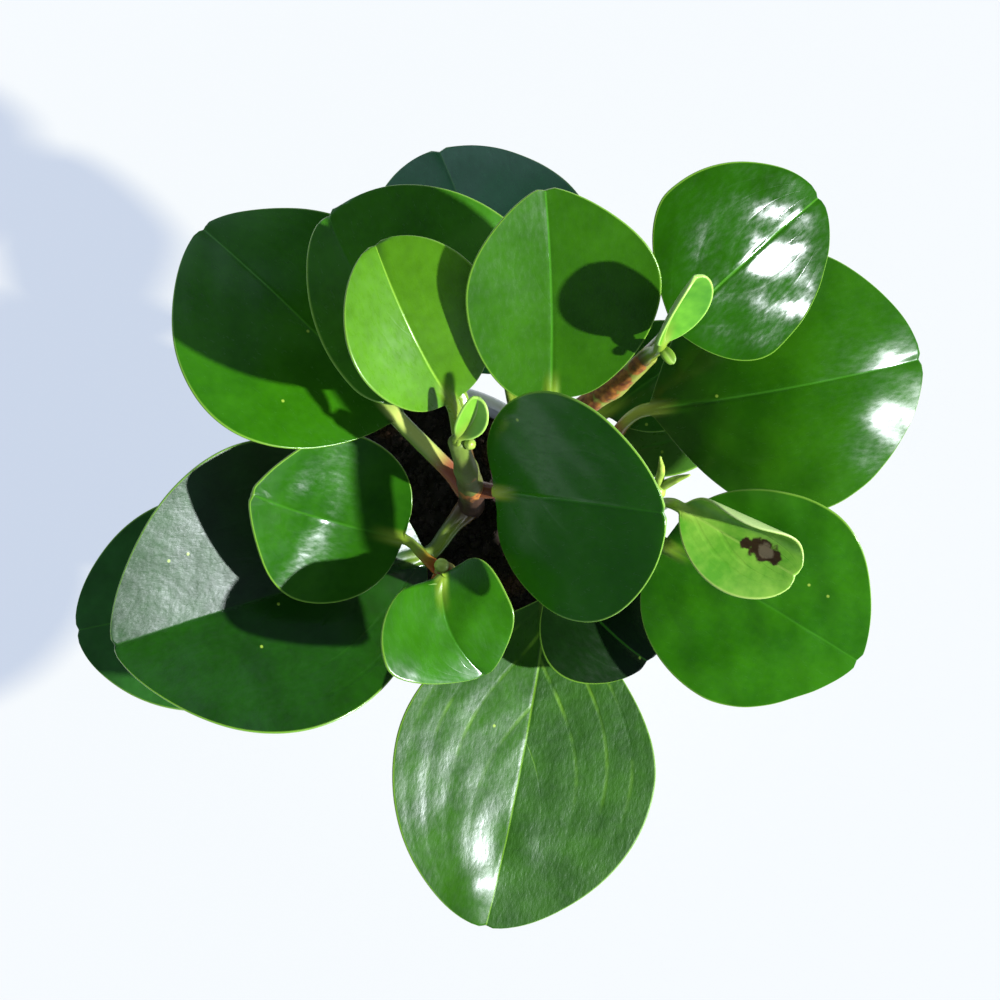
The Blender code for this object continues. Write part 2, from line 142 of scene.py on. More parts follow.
# %% light
KEY_FROM = Vector((0.844, -0.195, 0.5))
KEY_STRENGTH = 9.6
KEY_ANGLE = 2.0
FILL = "d8e4f8"
FILL_STRENGTH = 1.25
DIM_FROM, DARK_AT = 0.5, 0.95
ZENITH_SHARE = 0.12
MIRROR_SHARE = 0.06
WINDOW_FROM = (-0.15, 0.68, 0.716)
WINDOW_EDGE, WINDOW_CORE = 0.86, 0.97
WINDOW_SHARE = 0.9
key = bpy.data.objects.new("key_light", bpy.data.lights.new("key_light", "SUN"))
key.data.energy = KEY_STRENGTH
key.data.angle = math.radians(KEY_ANGLE)
key.data.color = linear("fffaf2")[:3]
key.rotation_mode = "QUATERNION"
key.rotation_quaternion = KEY_FROM.to_track_quat("Z", "Y")
scene.collection.objects.link(key)

room = bpy.data.worlds.new("room")
room.use_nodes = True
scene.world = room
tree = room.node_tree
where = add(tree, "ShaderNodeTexCoord")
parts = add(tree, "ShaderNodeSeparateXYZ", links={0: where.outputs["Generated"]})
high = add(tree, "ShaderNodeMapRange", {"interpolation_type": "SMOOTHSTEP", 1: DIM_FROM, 2: DARK_AT,
                                        3: 1.0, 4: ZENITH_SHARE}, {0: parts.outputs[2]})
power = add(tree, "ShaderNodeMath", {"operation": "MULTIPLY", 1: FILL_STRENGTH}, {0: high})
toward = add(tree, "ShaderNodeVectorMath", {"operation": "DOT_PRODUCT", 1: WINDOW_FROM}, {0: where})
window = add(tree, "ShaderNodeMapRange", {"interpolation_type": "SMOOTHSTEP", 1: WINDOW_EDGE,
                                          2: WINDOW_CORE, 3: MIRROR_SHARE, 4: WINDOW_SHARE},
             {0: toward.outputs[1]})
ray = add(tree, "ShaderNodeLightPath")
seen = add(tree, "ShaderNodeMapRange", {3: 1.0}, {0: ray.outputs["Is Glossy Ray"], 4: window})
power = add(tree, "ShaderNodeMath", {"operation": "MULTIPLY"}, {0: power, 1: seen})
tree.links.new(power.outputs[0], tree.nodes["Background"].inputs["Strength"])
tree.nodes["Background"].inputs["Color"].default_value = linear(FILL)
print("key light from", tuple(KEY_FROM), "strength", KEY_STRENGTH)

# %% [markdown]
# ## Table top
#
# The table is a white painted board. Paint that is rolled on dries dull and even, so the eye sees
# one flat pale field with soft blue shadows. A faint glow of its own stands for the light that a
# real room throws back and forth, and keeps the shadows as pale as they are on the real table.

# %% floor
FLOOR_SIZE = 6.0
finish, tree, shader = new_material("white_painted_table_top")
for socket, value in (("Base Color", linear("7f7a64")), ("Roughness", 0.9), ("Specular IOR Level", 0.0),
                      ("Emission Color", linear("bcc8e0")), ("Emission Strength", 1.0)):
    shader.inputs[socket].default_value = value
sheet = bpy.data.meshes.new("floor")
half = FLOOR_SIZE / 2
sheet.from_pydata([(-half, -half, 0), (half, -half, 0), (half, half, 0), (-half, half, 0)], [],
                  [(0, 1, 2, 3)])
sheet.materials.append(finish)
floor = bpy.data.objects.new("floor", sheet)
scene.collection.objects.link(floor)
print("floor", FLOOR_SIZE, "m across")

# %% [markdown]
# ## The leaves' measurements
#
# Every leaf of the CAD model comes from one short list of measurements: where its blade starts and
# ends, how wide it is, and how it is folded, arched, rolled and cupped. The same list is repeated here
# in millimetres, so that the fine blade lies exactly where the plain one does.

# %% leaf measurements
MM = 0.001
RIM_HALF = 0.34
BLADE_HALF = 0.48
NECK_SHARE = 0.09
NOTCH = 0.9
NOTCH_HALF_WIDTH = 1.2
NOTCH_FADE = 6.0
EAR_SHARE = 0.18


@dataclass
class Leaf:
    """One leaf: its stem and the height of its socket, its blade's two ends, and how the blade bends."""

    name: str
    stem: str
    height: float
    base: tuple
    tip: tuple
    width: float
    roll: float = 0.0
    arch: float = 2.0
    cup: float = 0.0
    fold: float = 3.0
    sweep: float = 0.0
    skew: float = 0.0
    peak: float = 0.5
    base_blunt: float = 0.6
    tip_blunt: float = 0.58
    lobe: float = 0.0
    rise: float = 15.0
    petiole: float = 1.7
    straight: float = 6.0
    curl_from: float = 0.0
    curl_radius: float = 0.0


LEAVES = [
    Leaf("leaf_front_large", "stem_right", 80, (30.6, -15.9, 92.6), (14.5, -98.4, 107.3), 68.5,
         roll=13.5, arch=3.3, cup=0.8, fold=4, sweep=-0.4, skew=-0.01, peak=0.53, base_blunt=1.2,
         tip_blunt=0.59, lobe=3.7),
    Leaf("leaf_left_large", "stem_middle", 86, (-1.6, -6.5, 89.3), (-75.1, -27.1, 123), 72.2,
         roll=1, arch=1.9, cup=2.6, fold=9, sweep=1.1, skew=0.06, peak=0.51, base_blunt=0.64,
         tip_blunt=0.66, petiole=2.2),
    Leaf("leaf_left_small", "stem_left", 111, (-6, -1.8, 110.4), (-40.4, 9.3, 134.4), 43.4,
         roll=3.5, arch=-6.8, cup=0.9, fold=0.5, sweep=-1.5, skew=0.03, peak=0.43,
         base_blunt=0.38, tip_blunt=0.95, petiole=1.3),
    Leaf("leaf_front_small", "stem_left", 116.4, (3.9, -11.1, 123), (14, -34.2, 121.5), 35.1,
         roll=20, arch=2, fold=6, sweep=4, skew=0.12, base_blunt=0.25, tip_blunt=0.92, lobe=3),
    Leaf("leaf_front_low", "stem_right", 98, (33, -10, 108), (55, -32.5, 104), 33.5,
         arch=3, fold=1, sweep=1.5),
    Leaf("leaf_centre", "stem_middle", 117, (17.3, 10, 130), (54, 5.2, 160), 56, roll=-24,
         arch=2, sweep=-1, skew=0.04, base_blunt=0.52, tip_blunt=0.57, lobe=3.5, petiole=1.5),
    Leaf("leaf_upper_left_young", "stem_middle", 127.5, (6.6, 31.1, 137), (-9.9, 65, 154), 35.2,
         roll=-15.5, arch=5, cup=1.5, fold=6, sweep=-2.7, skew=0.04, peak=0.6, base_blunt=0.73,
         tip_blunt=0.51, lobe=2.4, rise=10),
    Leaf("leaf_upper_centre", "stem_upper", 108, (29.8, 31.5, 137), (28, 76.6, 160), 45.4,
         roll=-11.5, arch=0.8, cup=1, fold=2.7, sweep=0.6, skew=0.1, peak=0.55, base_blunt=0.71,
         tip_blunt=0.76, lobe=4.1),
    Leaf("leaf_upper_right", "stem_upper", 126, (58.3, 47.8, 142), (92.6, 79.1, 135), 47.8,
         roll=-23, arch=2, cup=-1.5, fold=-0.5, sweep=-1.4, skew=-0.03, peak=0.38,
         base_blunt=0.73, tip_blunt=0.56, rise=0, straight=8.5),
    Leaf("leaf_right_large", "stem_right", 90, (54.9, 30.5, 111.5), (119.9, 42.2, 119.9), 65.8,
         roll=-4.7, arch=11.2, cup=-10, fold=3.2, sweep=0.5, skew=-0.04, peak=0.49,
         base_blunt=1.01, tip_blunt=0.61, rise=10),
    Leaf("leaf_right_lower", "stem_right", 110, (57.7, -2.6, 121.7), (105, -31, 119.6), 57.4,
         roll=-19.6, arch=3.4, cup=1.5, fold=0.1, sweep=-1.4, peak=0.5, base_blunt=0.43,
         tip_blunt=0.75, lobe=1.1),
    Leaf("leaf_left_upper", "stem_middle", 112, (-7.3, 28.3, 116), (-54.6, 74.2, 118), 63,
         roll=-19, arch=3, cup=3, skew=-0.11, peak=0.46, base_blunt=0.66, tip_blunt=0.67,
         rise=10, petiole=2.1),
    Leaf("leaf_upper_left_dark", "stem_middle", 122, (7.2, 34.8, 127), (-22, 74, 138), 56,
         roll=-16, arch=2, cup=1, sweep=-4.4, skew=0.38, peak=0.32, tip_blunt=0.48, rise=10),
    Leaf("leaf_back_low", "stem_upper", 84, (20, 40.2, 104), (2.5, 97.2, 96), 59, roll=-9,
         arch=4, sweep=1, skew=0.03, peak=0.49, tip_blunt=0.53, rise=5),
    Leaf("leaf_left_low", "stem_left", 78, (-29, -18, 84), (-92, -26, 88), 56,
         sweep=1.5, skew=0.05, peak=0.47),
    Leaf("leaf_right_under", "stem_right", 84.5, (46.4, 19.1, 92.5), (77, 27.5, 92), 18, arch=3,
         fold=1, rise=5),
    Leaf("leaf_right_back", "stem_upper", 97, (45, 30.5, 98), (70, 48.3, 101), 28, arch=3,
         fold=1, rise=0),
    Leaf("leaf_right_curled", "stem_right", 119, (60.6, 6.2, 134.5), (86.6, -9.6, 140), 23, skew=0.04,
         cup=2, fold=1, arch=-1, peak=0.56, base_blunt=0.7, tip_blunt=0.5, curl_from=4.5,
         curl_radius=3.0, petiole=1.4, rise=5),
]

SPROUTS = [
    Leaf("sprout_upper", "stem_upper", 135, (54.8, 43.8, 149), (61.2, 56.9, 164), 14.5, arch=-1,
         fold=4, roll=-60, rise=60, petiole=1.4, straight=1.5),
    Leaf("bract_upper", "stem_upper", 134.5, (54.8, 43.2, 146.3), (57.6, 39, 148.5), 3, arch=1, fold=0,
         rise=60, petiole=0.9, straight=1.5),
    Leaf("sprout_middle", "stem_middle", 136, (8.4, 22.2, 143.5), (13, 31.2, 150), 7, arch=-1, fold=2,
         sweep=1.2, rise=60, petiole=0.9, straight=1.5),
]
print(len(LEAVES), "leaves and", len(SPROUTS), "sprouts")

# %% stems' measurements
STEM_FOOT = 46.0
STEM_RADIUS = 3.4
STEM_TOP_SHARE = 0.64
NODE_SWELL = 0.5
NODE_LENGTH = 3.0
STEMS = {
    "stem_upper": [(19, 13, STEM_FOOT), (25, 20, 85), (36, 29, 114), (47, 36.5, 128), (53, 42, 136.5)],
    "stem_middle": [(9, 4, STEM_FOOT), (10.5, 7, 90), (11, 10.5, 116), (9.5, 17, 131), (8, 21.5, 140)],
    "stem_left": [(7, -18, STEM_FOOT), (6.5, -15, 90), (4.5, -9.5, 118)],
    "stem_right": [(24, -3, STEM_FOOT), (31, 1, 82), (43, 5, 112), (53.5, 8.6, 132)],
}
print("stems:", ", ".join(STEMS))

# %% [markdown]
# ## The form of a blade
#
# A blade is a sheet with two coordinates: `s` runs from the stalk to the tip, and `v` runs from one
# margin to the other. Formulas turn them into a place: an outline that is blunt at both ends, a small
# notch at the tip, a fold along the midrib, an arch, a cup and a roll. Working in these coordinates
# is better than sculpting here, because veins, margins and colours can use the same two numbers.

# %% blade form
FOLD_SOFTNESS = 0.1
FOLD_SHARPENING = 0.07
FOLD_SHARP_AFTER = 0.12


def unit(vector):
    """The vector's direction, with the length 1."""
    return vector / np.linalg.norm(vector)


def blade_axes(leaf):
    """Start point, directions along, across and out of the blade, and its length."""
    base, tip = np.array(leaf.base, float), np.array(leaf.tip, float)
    length = np.linalg.norm(tip - base)
    along = (tip - base) / length
    side = unit(np.cross(along, (0, 0, 1)))
    up = np.cross(side, along)
    turn = math.radians(leaf.roll)
    across = side * math.cos(turn) + up * math.sin(turn)
    normal = up * math.cos(turn) - side * math.sin(turn)
    return base, along, across, normal, length


def half_width(leaf, s, v):
    """Distance from midrib to margin at share s of the length, on the side of v."""
    to_base = 1 - np.clip((leaf.peak - s) / leaf.peak, 0, 1) ** 2
    to_tip = 1 - np.clip((s - leaf.peak) / (1 - leaf.peak), 0, 1) ** 2
    share = to_base**leaf.base_blunt * to_tip**leaf.tip_blunt
    wide = leaf.width / 2 * share * (1 + leaf.skew * np.sign(v))
    neck = leaf.petiole * np.clip(1 - s, 0, 1) ** 2
    return (wide**4 + neck**4) ** 0.25


def curl(leaf, s, x, lift):
    """Roll the left side of a blade up and back over its own upper face."""
    if leaf.curl_radius == 0:
        return x, lift
    past = np.maximum(-x - leaf.curl_from * (0.25 + 0.75 * s), 0)
    turn = past / leaf.curl_radius
    return (x + past - leaf.curl_radius * np.sin(turn),
            lift + leaf.curl_radius * (1 - np.cos(turn)))


def blade_middle(leaf, s, v):
    """Middle of the blade at share s of its length and share v of its half width."""
    base, along, across, normal, length = blade_axes(leaf)
    x = half_width(leaf, s, v) * v
    y = length * s
    forward = NOTCH * (1 - np.exp(-((x / NOTCH_HALF_WIDTH) ** 2)))
    y = y + forward * np.exp(-(((length - y) / NOTCH_FADE) ** 2))
    ear = 1 - np.exp(-((x / (EAR_SHARE * leaf.width)) ** 2))
    y = y - leaf.lobe * ear * (1 - s) ** 3
    q = x / (leaf.width / 2)
    bow = 4 * s * (1 - s)
    soft = FOLD_SOFTNESS - FOLD_SHARPENING * (1 - np.exp(-((s / FOLD_SHARP_AFTER) ** 2)))
    fold = leaf.fold * (np.sqrt(q**2 + soft**2) - FOLD_SOFTNESS)
    lift = leaf.arch * bow + leaf.cup * q**2 + fold
    x, lift = curl(leaf, s, x, lift)
    x = x + leaf.sweep * bow
    return base + sum(np.multiply.outer(a, b) for a, b in ((y, along), (x, across), (lift, normal)))


def blade_normal(leaf, s, v):
    """Direction out of the upper face, from the places just around each point."""
    step = 0.004
    run = blade_middle(leaf, s + step, v) - blade_middle(leaf, s - step, v)
    low, high = np.clip(v - step, -1, 1), np.clip(v + step, -1, 1)
    over = blade_middle(leaf, s, high) - blade_middle(leaf, s, low)
    out = np.cross(over, run)
    return out / np.linalg.norm(out, axis=-1, keepdims=True)


print("largest blade", round(blade_axes(LEAVES[0])[4], 1), "mm long")

# %% [markdown]
# ## Veins
#
# The side veins of this plant leave the midrib at about 45 degrees and then bend forward, almost
# along the margin. Each one is the curve `v = reach * (1 - exp(-(s - start) / bend))`, and its reach
# shrinks the nearer to the tip it starts. Turning that round gives every point of the blade the
# starting place of the vein that would pass through it, and veins lie where that number is whole.
# Past the middle of the blade no new vein starts, and the others thin out. The surface sinks a little
# along the veins and swells between them.

# %% vein pattern
VEINS_PER_LENGTH = 4.0
VEIN_REACH = 0.64
VEIN_SHRINK = 0.66
VEIN_BEND = 0.19
LAST_VEIN = 0.42
THIN_FROM = 0.6
SIDE_SHIFT = 0.42
SEARCH_RANGE = 1.6
HALVINGS = 26


def vein_start(s, v):
    """Where on the midrib the vein through each point starts, found by halving an interval."""
    low, high = s - SEARCH_RANGE, s
    for _ in range(HALVINGS):
        middle = (low + high) / 2
        reach = (VEIN_REACH - VEIN_SHRINK * middle) * (1 - np.exp(-(s - middle) / VEIN_BEND))
        inside = reach > abs(v)
        low = np.where(inside, middle, low)
        high = np.where(inside, high, middle)
    return (low + high) / 2


def vein_field(leaf, s, v):
    """A number that is whole along each side vein, the millimetres between veins, and their depth."""
    shift = 0.5 + 0.37 * np.sin(len(leaf.name) + 9 * leaf.width)
    start = vein_start(s, v)
    number = start * VEINS_PER_LENGTH + np.where(v < 0, shift, shift + SIDE_SHIFT)
    step = 0.01
    ahead = vein_start(s + step, v) - vein_start(s - step, v)
    aside = vein_start(s, abs(v) + step) - vein_start(s, abs(v) - step)
    length = blade_axes(leaf)[4]
    wide = np.maximum(half_width(leaf, s, v), 0.5)
    slope = np.hypot(ahead / length, aside / wide) / (2 * step) * VEINS_PER_LENGTH
    fading = np.clip((start - LAST_VEIN) * 8, 0, 1) + np.clip((s - THIN_FROM) * 3, 0, 1)
    return number, (1 + 6 * fading) / np.maximum(slope, 0.02), np.clip(1 - fading, 0, 1)


print("side veins start", 1 / VEINS_PER_LENGTH, "of the length apart, up to", LAST_VEIN)

# %% [markdown]
# ## The relief of each leaf
#
# Old leaves are quilted by their veins and crinkled like leather, young ones are smooth and taut. No
# real blade is a perfect sheet either: slow waves of one to five tenths of a millimetre and a few
# broad swells break up its reflections. These numbers differ from leaf to leaf, so they stand in one table
# beside the colours. A last table gives the few brown marks: their places, sizes and colours.

# %% leaf characters
@dataclass
class Character:
    """How one leaf looks. Its relief is in millimetres; `left` and `right` are seen from the stalk.

    deep, pale: the two greens of the flesh. rough, shine: the wax. crinkle: the leathery grain.
    quilt, wave: height of the cushions between the veins and of the slow waves. swells: broad bumps,
    each with its place across and along the blade, its width and its height. rib, rim, stalk, root,
    back: colours of the midrib, the margin, the green and the brown end of the stalk and the
    underside. green_stalk: length of its green end. veins, crease: how pale and how sunk the side
    veins are. dull_left, dull_right: roughness added on one half.
    """

    deep: str = "1b4a04"
    pale: str = "235c06"
    rough: float = 0.22
    crinkle: float = 0.1
    quilt: float = 0.03
    wave: float = 0.1
    rib: str = "2f6c12"
    rim: str = "5f8a2c"
    stalk: str = "6f8a2a"
    root: str = "54401c"
    green_stalk: float = 8.0
    back: str = "7a9a58"
    veins: float = 0.02
    shine: float = 0.5
    crease: float = 1.4
    dull_left: float = 0.0
    dull_right: float = 0.0
    swells: tuple = ()


CHARACTERS = {
    "leaf_front_large": Character("1c4406", "265404", rough=0.31, crinkle=2.8, quilt=0.12, wave=0.1,
                                  rib="6a9a24", veins=0.5, crease=0.5, stalk="6a7a22", shine=0.42,
                                  dull_left=0.18, swells=((7.0, 77.0, 6.0, 1.3), (12.0, 66.0, 6.5, 0.7),
                                                  (-4.5, 64.0, 4.5, 0.8))),
    "leaf_left_large": Character("0e3204", "144006", rough=0.2, crinkle=1.8, rib="1c4a0c", shine=0.95,
                                 dull_right=0.24),
    "leaf_left_small": Character("184606", "225408", rough=0.18, quilt=0.04, rib="2c6410", root="84401c",
                                 green_stalk=4.0, swells=((4.5, 27.0, 6.0, 1.3), (-9.0, 31.0, 5.0, 0.6))),
    "leaf_front_small": Character("205206", "286008", rough=0.25, quilt=0.06, wave=0.45, root="84401c",
                                  green_stalk=3.0),
    "leaf_front_low": Character("081c05", "0c2408", rough=0.2),
    "leaf_centre": Character("1a5202", "205a04", rough=0.22, rib="286a08", stalk="8a9a34",
                             root="5a3420", green_stalk=2.0),
    "leaf_upper_left_young": Character("3a680c", "467a12", rough=0.28, rib="7cac34"),
    "leaf_upper_centre": Character("204c04", "285806", rough=0.24, rib="3c7c1c", shine=0.4),
    "leaf_upper_right": Character("143c02", "1a4804", rough=0.15, rib="3f7c1a", shine=0.3, wave=0.2),
    "leaf_right_large": Character("1b4a02", "245604", rough=0.22, rib="35701a", wave=0.2, stalk="90a040",
                                  root="84483a", green_stalk=6.0),
    "leaf_right_lower": Character("1e5404", "286206", wave=0.3),
    "leaf_left_upper": Character("1e5202", "265e04", rib="3c7a18", stalk="a8b860", root="7c4a34",
                                 green_stalk=11.0),
    "leaf_upper_left_dark": Character("265a0a", "306a10", shine=0.9),
    "leaf_back_low": Character("105424", "165e2c", rough=0.3, shine=1.0),
    "leaf_left_low": Character("1c4a14", "245a1c", rough=0.4),
    "leaf_right_under": Character("2c5414", "38641c", rough=0.3, stalk="7c7c3c"),
    "leaf_right_back": Character("1a4a06", "20560a", stalk="7f9e2c", root="7f9e2c"),
    "leaf_right_curled": Character("4a8a1c", "78aa3a", rough=0.34, rib="84ac48", rim="8cac54",
                                   back="acc484", crinkle=0.6, stalk="80a03c", root="6c7c30"),
    "sprout_upper": Character("3c7c14", "5c9c24", rough=0.34, rib="a0cc60", rim="94c458"),
    "bract_upper": Character("5a9828", "7aae3e", rough=0.4, rib="b0cc80"),
    "sprout_middle": Character("5c9c20", "74b030", rough=0.4, rib="b8d088", rim="90c050"),
}

BLEMISHES = {
    "leaf_right_curled": [((75.8, -2.2, 137.3), 1.9, "2c2010"), ((77.6, -3.0, 137.7), 2.5, "2c2010"),
                          ((79.6, -4.0, 138.1), 3.2, "2c2010"), ((81.6, -4.8, 138.6), 2.6, "2c2010"),
                          ((79.9, -3.8, 138.2), 1.9, "5a5240"), ((81.0, -4.2, 138.5), 1.5, "5a5240")],
    "leaf_upper_centre": [((33, 73, 157), 0.5, "5a3a14")],
    "leaf_left_large": [((-19, -41, 108), 1.0, "8a5a48"), ((-17.5, -42.2, 108), 0.7, "8a5a48")],
}


def slow_waves(leaf, x, y):
    """Gentle bumps, 13 to 27 mm long, whose height the wave of the leaf's character scales."""
    phase = 3.1 * math.sin(leaf.width * 7.3 + leaf.height)
    wave = np.sin(0.26 * x + 0.11 * y + phase) * np.sin(0.23 * y - 0.08 * x + 2 * phase)
    return wave + 0.5 * np.sin(0.47 * x - 0.2 * y + 4 * phase) * np.sin(0.36 * y + 3 * phase)


GROOVE_HALF = 2.6
WAVES_FROM = 12.0


def relief(leaf, s, v):
    """Height of the upper face's veins, cushions, waves and swells, in millimetres."""
    look = CHARACTERS[leaf.name]
    x = half_width(leaf, s, v) * v
    y = blade_axes(leaf)[4] * s
    number, gap, depth = vein_field(leaf, s, v)
    away = abs(number - np.round(number)) * gap
    calm = np.clip((1 - abs(v)) * 5, 0, 1) * np.clip(y / 8, 0, 1) * np.clip((1 - s) * 8, 0, 1)
    cushions = look.quilt * (1 - depth * np.exp(-((away / GROOVE_HALF) ** 2))) * calm
    ease = np.clip(y / WAVES_FROM, 0, 1)
    swell = sum(tall * np.exp(-((x - at_x) ** 2 + (y - at_y) ** 2) / wide**2)
                for at_x, at_y, wide, tall in look.swells)
    return cushions - look.quilt * 0.5 * calm + look.wave * ease * slow_waves(leaf, x, y) + swell


print("characters for", len(CHARACTERS), "leaves and sprouts")

# %% [markdown]
# ## The stalk
#
# The stalk leaves its stem straight, then bends over into the midrib. A cubic curve between the two
# gives that bend, and the cross-section turns slowly from round to the flat neck of the blade. Its
# upper side is slightly grooved, and it widens where it grows out of the stem.

# %% stalk form
ROOT_INSET = 1.5
OUT_HANDLE = 0.4
BACK_HANDLE = 0.28
STALK_RINGS = 26
STALK_GROOVE = 0.16
FOOT_FLARE = 0.45
FLARE_LENGTH = 4.0
FLATTENS_FROM = 0.55


def smooth_path(points, count):
    """Points on a smooth curve that passes through the given ones."""
    knots = np.array(points, float)
    ends = np.vstack([2 * knots[0] - knots[1], knots, 2 * knots[-1] - knots[-2]])
    out = []
    for spot in np.linspace(0, len(knots) - 1, count):
        i = min(int(spot), len(knots) - 2)
        t = spot - i
        a, b, c, d = ends[i : i + 4]
        out.append(0.5 * (2 * b + (c - a) * t + (2 * a - 5 * b + 4 * c - d) * t**2
                          + (3 * b - a - 3 * c + d) * t**3))
    return np.array(out)


def stem_point(leaf):
    """Where the leaf's socket axis crosses the middle of its stem."""
    path = smooth_path(STEMS[leaf.stem], 200)
    return path[np.argmin(abs(path[:, 2] - leaf.height))]


def stalk_path(leaf):
    """Points from inside the stem to the blade."""
    centre = stem_point(leaf)
    flat = np.array(leaf.base, float) - centre
    flat[2] = 0
    rise = math.radians(leaf.rise)
    out = unit(flat) * math.cos(rise) + np.array((0, 0, math.sin(rise)))
    base, along, across, normal, length = blade_axes(leaf)
    run = unit(along * length + 4 * leaf.arch * normal + 4 * leaf.sweep * across)
    start = centre + out * leaf.straight
    reach = np.linalg.norm(base - start)
    handles = (start, start + OUT_HANDLE * reach * out, base - BACK_HANDLE * reach * run, base)
    inside = centre + out * min(ROOT_INSET, leaf.straight / 3)
    points = [inside + (start - inside) * t for t in np.linspace(0, 1, 6)[:-1]]
    for t in np.linspace(0, 1, STALK_RINGS)[:-1]:
        u = 1 - t
        weights = (u**3, 3 * u * u * t, 3 * u * t * t, t**3)
        points.append(sum(w * h for w, h in zip(weights, handles)))
    return np.array(points)


print("stalk of the largest leaf has", len(stalk_path(LEAVES[0])), "rings")

# %% [markdown]
# ## From coordinates to a mesh
#
# Each cross-section is a closed ring: over the top face from the left margin to the right one, and
# back under the lower face. The columns lie closest at the midrib and at the margins, and the last
# few go round the margin, so the rim is a true half-round that catches the light. The mesh also keeps
# what the material needs: a flat map of the sheet in metres, the distance from the margin, the vein
# numbers, and which face a point is on.

# %% leaf mesh
COLUMN_STEP = 0.75
RING_STEP = 0.85
MIDRIB_WIDTH = 0.5
MIDRIB_DEPTH = 0.16
KEEL_DEPTH = 0.7
KEEL_HALF_WIDTH = 1.6
LAST_RING = 0.998
SMALL_BLADE = 20
NO_VEIN = {"edge": 3.0, "vein": 0.5, "gap": 9.0}


def column_shares(leaf, s):
    """Shares v of the columns on each cross-section, and how far round the margin each one is."""
    count = int(np.clip(leaf.width / 2 / COLUMN_STEP, 9, 44))
    even = np.linspace(0, 1, count)
    inner = 0.4 * even + 0.6 * (3 * even**2 - 2 * even**3)
    turns = np.radians((60, 35, 15, 0))
    sides = []
    for side in (-1, 1):
        wide = half_width(leaf, s, np.full_like(s, side))
        rim = np.minimum(RIM_HALF / wide, 0.3)
        flat = np.multiply.outer(1 - rim, inner)
        round_part = 1 - np.multiply.outer(rim, 1 - np.cos(turns))
        sides.append(side * np.hstack([flat, round_part]))
    share = np.hstack([sides[0][:, :0:-1], sides[1]])
    drop = np.concatenate([np.ones(count), np.sin(turns)])
    return share, np.concatenate([drop[:0:-1], drop])


def blade_faces(leaf):
    """Upper and lower face of the blade as grids of points, with their sheet coordinates."""
    length = blade_axes(leaf)[4]
    count = int(np.clip(length / RING_STEP, 14, 110))
    even = np.linspace(0, 1, count)
    eased = 0.5 - 0.5 * np.cos(even * math.pi)
    ring = LAST_RING * (0.45 * even + 0.55 * eased)
    v, drop = column_shares(leaf, ring)
    s = np.repeat(ring[:, None], v.shape[1], axis=1)
    wide = half_width(leaf, s, v)
    x = wide * v
    middle = blade_middle(leaf, s, v)
    normal = blade_normal(leaf, s, v)
    flat = RIM_HALF + (BLADE_HALF - RIM_HALF) * (1 - v**2)
    arc = np.sqrt(np.clip(1 - (x / leaf.petiole) ** 2, 0, 1))
    neck = (leaf.petiole - BLADE_HALF) * arc * np.exp(-((s / NECK_SHARE) ** 2))
    keel = KEEL_DEPTH * (np.exp(-3 * s) - np.exp(-23 * s)) * np.exp(-((x / KEEL_HALF_WIDTH) ** 2))
    bumps = relief(leaf, s, v)
    crease = MIDRIB_DEPTH * np.exp(-((x / MIDRIB_WIDTH) ** 2)) * np.clip(s * 12, 0, 1) * (1 - s**4)
    bumps = bumps if leaf.width > SMALL_BLADE else 0.1 * bumps
    top = middle + normal * (drop * (flat + 0.6 * neck - crease) + bumps)[..., None]
    low = middle - normal * (drop * (flat + neck + keel) - 0.8 * bumps)[..., None]
    number, gap, _ = vein_field(leaf, s, v)
    edge = wide * (1 - abs(v))
    return top, low, {"x": x, "y": length * s, "edge": edge, "vein": number, "gap": gap}


def stalk_faces(leaf, v, drop, first_top, first_low):
    """Upper and lower half of the stalk, ending in the blade's first cross-section."""
    path = stalk_path(leaf)
    whole = np.vstack([path, leaf.base])
    tangents = [unit(t) for t in np.gradient(whole, axis=0)][:-1]
    across = blade_axes(leaf)[2]
    lengths = np.concatenate([[0], np.cumsum(np.linalg.norm(np.diff(whole, axis=0), axis=1))])
    top, low = [], []
    height = np.sqrt(np.maximum(1 - v**2, 0)) * (leaf.petiole - RIM_HALF) + RIM_HALF * drop
    groove = STALK_GROOVE * leaf.petiole * np.exp(-((v / 0.4) ** 2))
    base = np.array(leaf.base, float)
    for centre, tangent, gone in zip(path, tangents, lengths):
        right = unit(across - tangent * np.dot(across, tangent))
        up = np.cross(right, tangent)
        share = gone / lengths[-1]
        grow = 1 + FOOT_FLARE * math.exp(-((gone / FLARE_LENGTH) ** 2))
        blend = max(share - FLATTENS_FROM, 0) / (1 - FLATTENS_FROM)
        blend = blend * blend * (3 - 2 * blend)
        over = np.multiply.outer(v * leaf.petiole * grow, right)
        round_top = over + np.multiply.outer((height - groove * min(share * 3, 1)) * grow, up)
        round_low = over - np.multiply.outer(height * grow, up)
        top.append(centre + (1 - blend) * round_top + blend * (first_top - base))
        low.append(centre + (1 - blend) * round_low + blend * (first_low - base))
    return np.array(top), np.array(low), lengths[:-1] - lengths[-1]


def leaf_arrays(leaf):
    """All cross-sections from the root of the stalk to the tip, with their sheet coordinates."""
    top, low, sheet = blade_faces(leaf)
    v, drop = column_shares(leaf, np.array([0.0]))
    stalk_top, stalk_low, before = stalk_faces(leaf, v[0], drop, top[0], low[0])
    rows = len(before)
    columns = top.shape[1]
    early = {key: np.full((rows, columns), value) for key, value in NO_VEIN.items()}
    early["x"] = np.repeat(v * leaf.petiole, rows, axis=0)
    early["y"] = np.repeat(before[:, None], columns, axis=1)
    sheet = {key: np.vstack([early[key], sheet[key]]) for key in sheet}
    return np.vstack([stalk_top, top]), np.vstack([stalk_low, low]), sheet


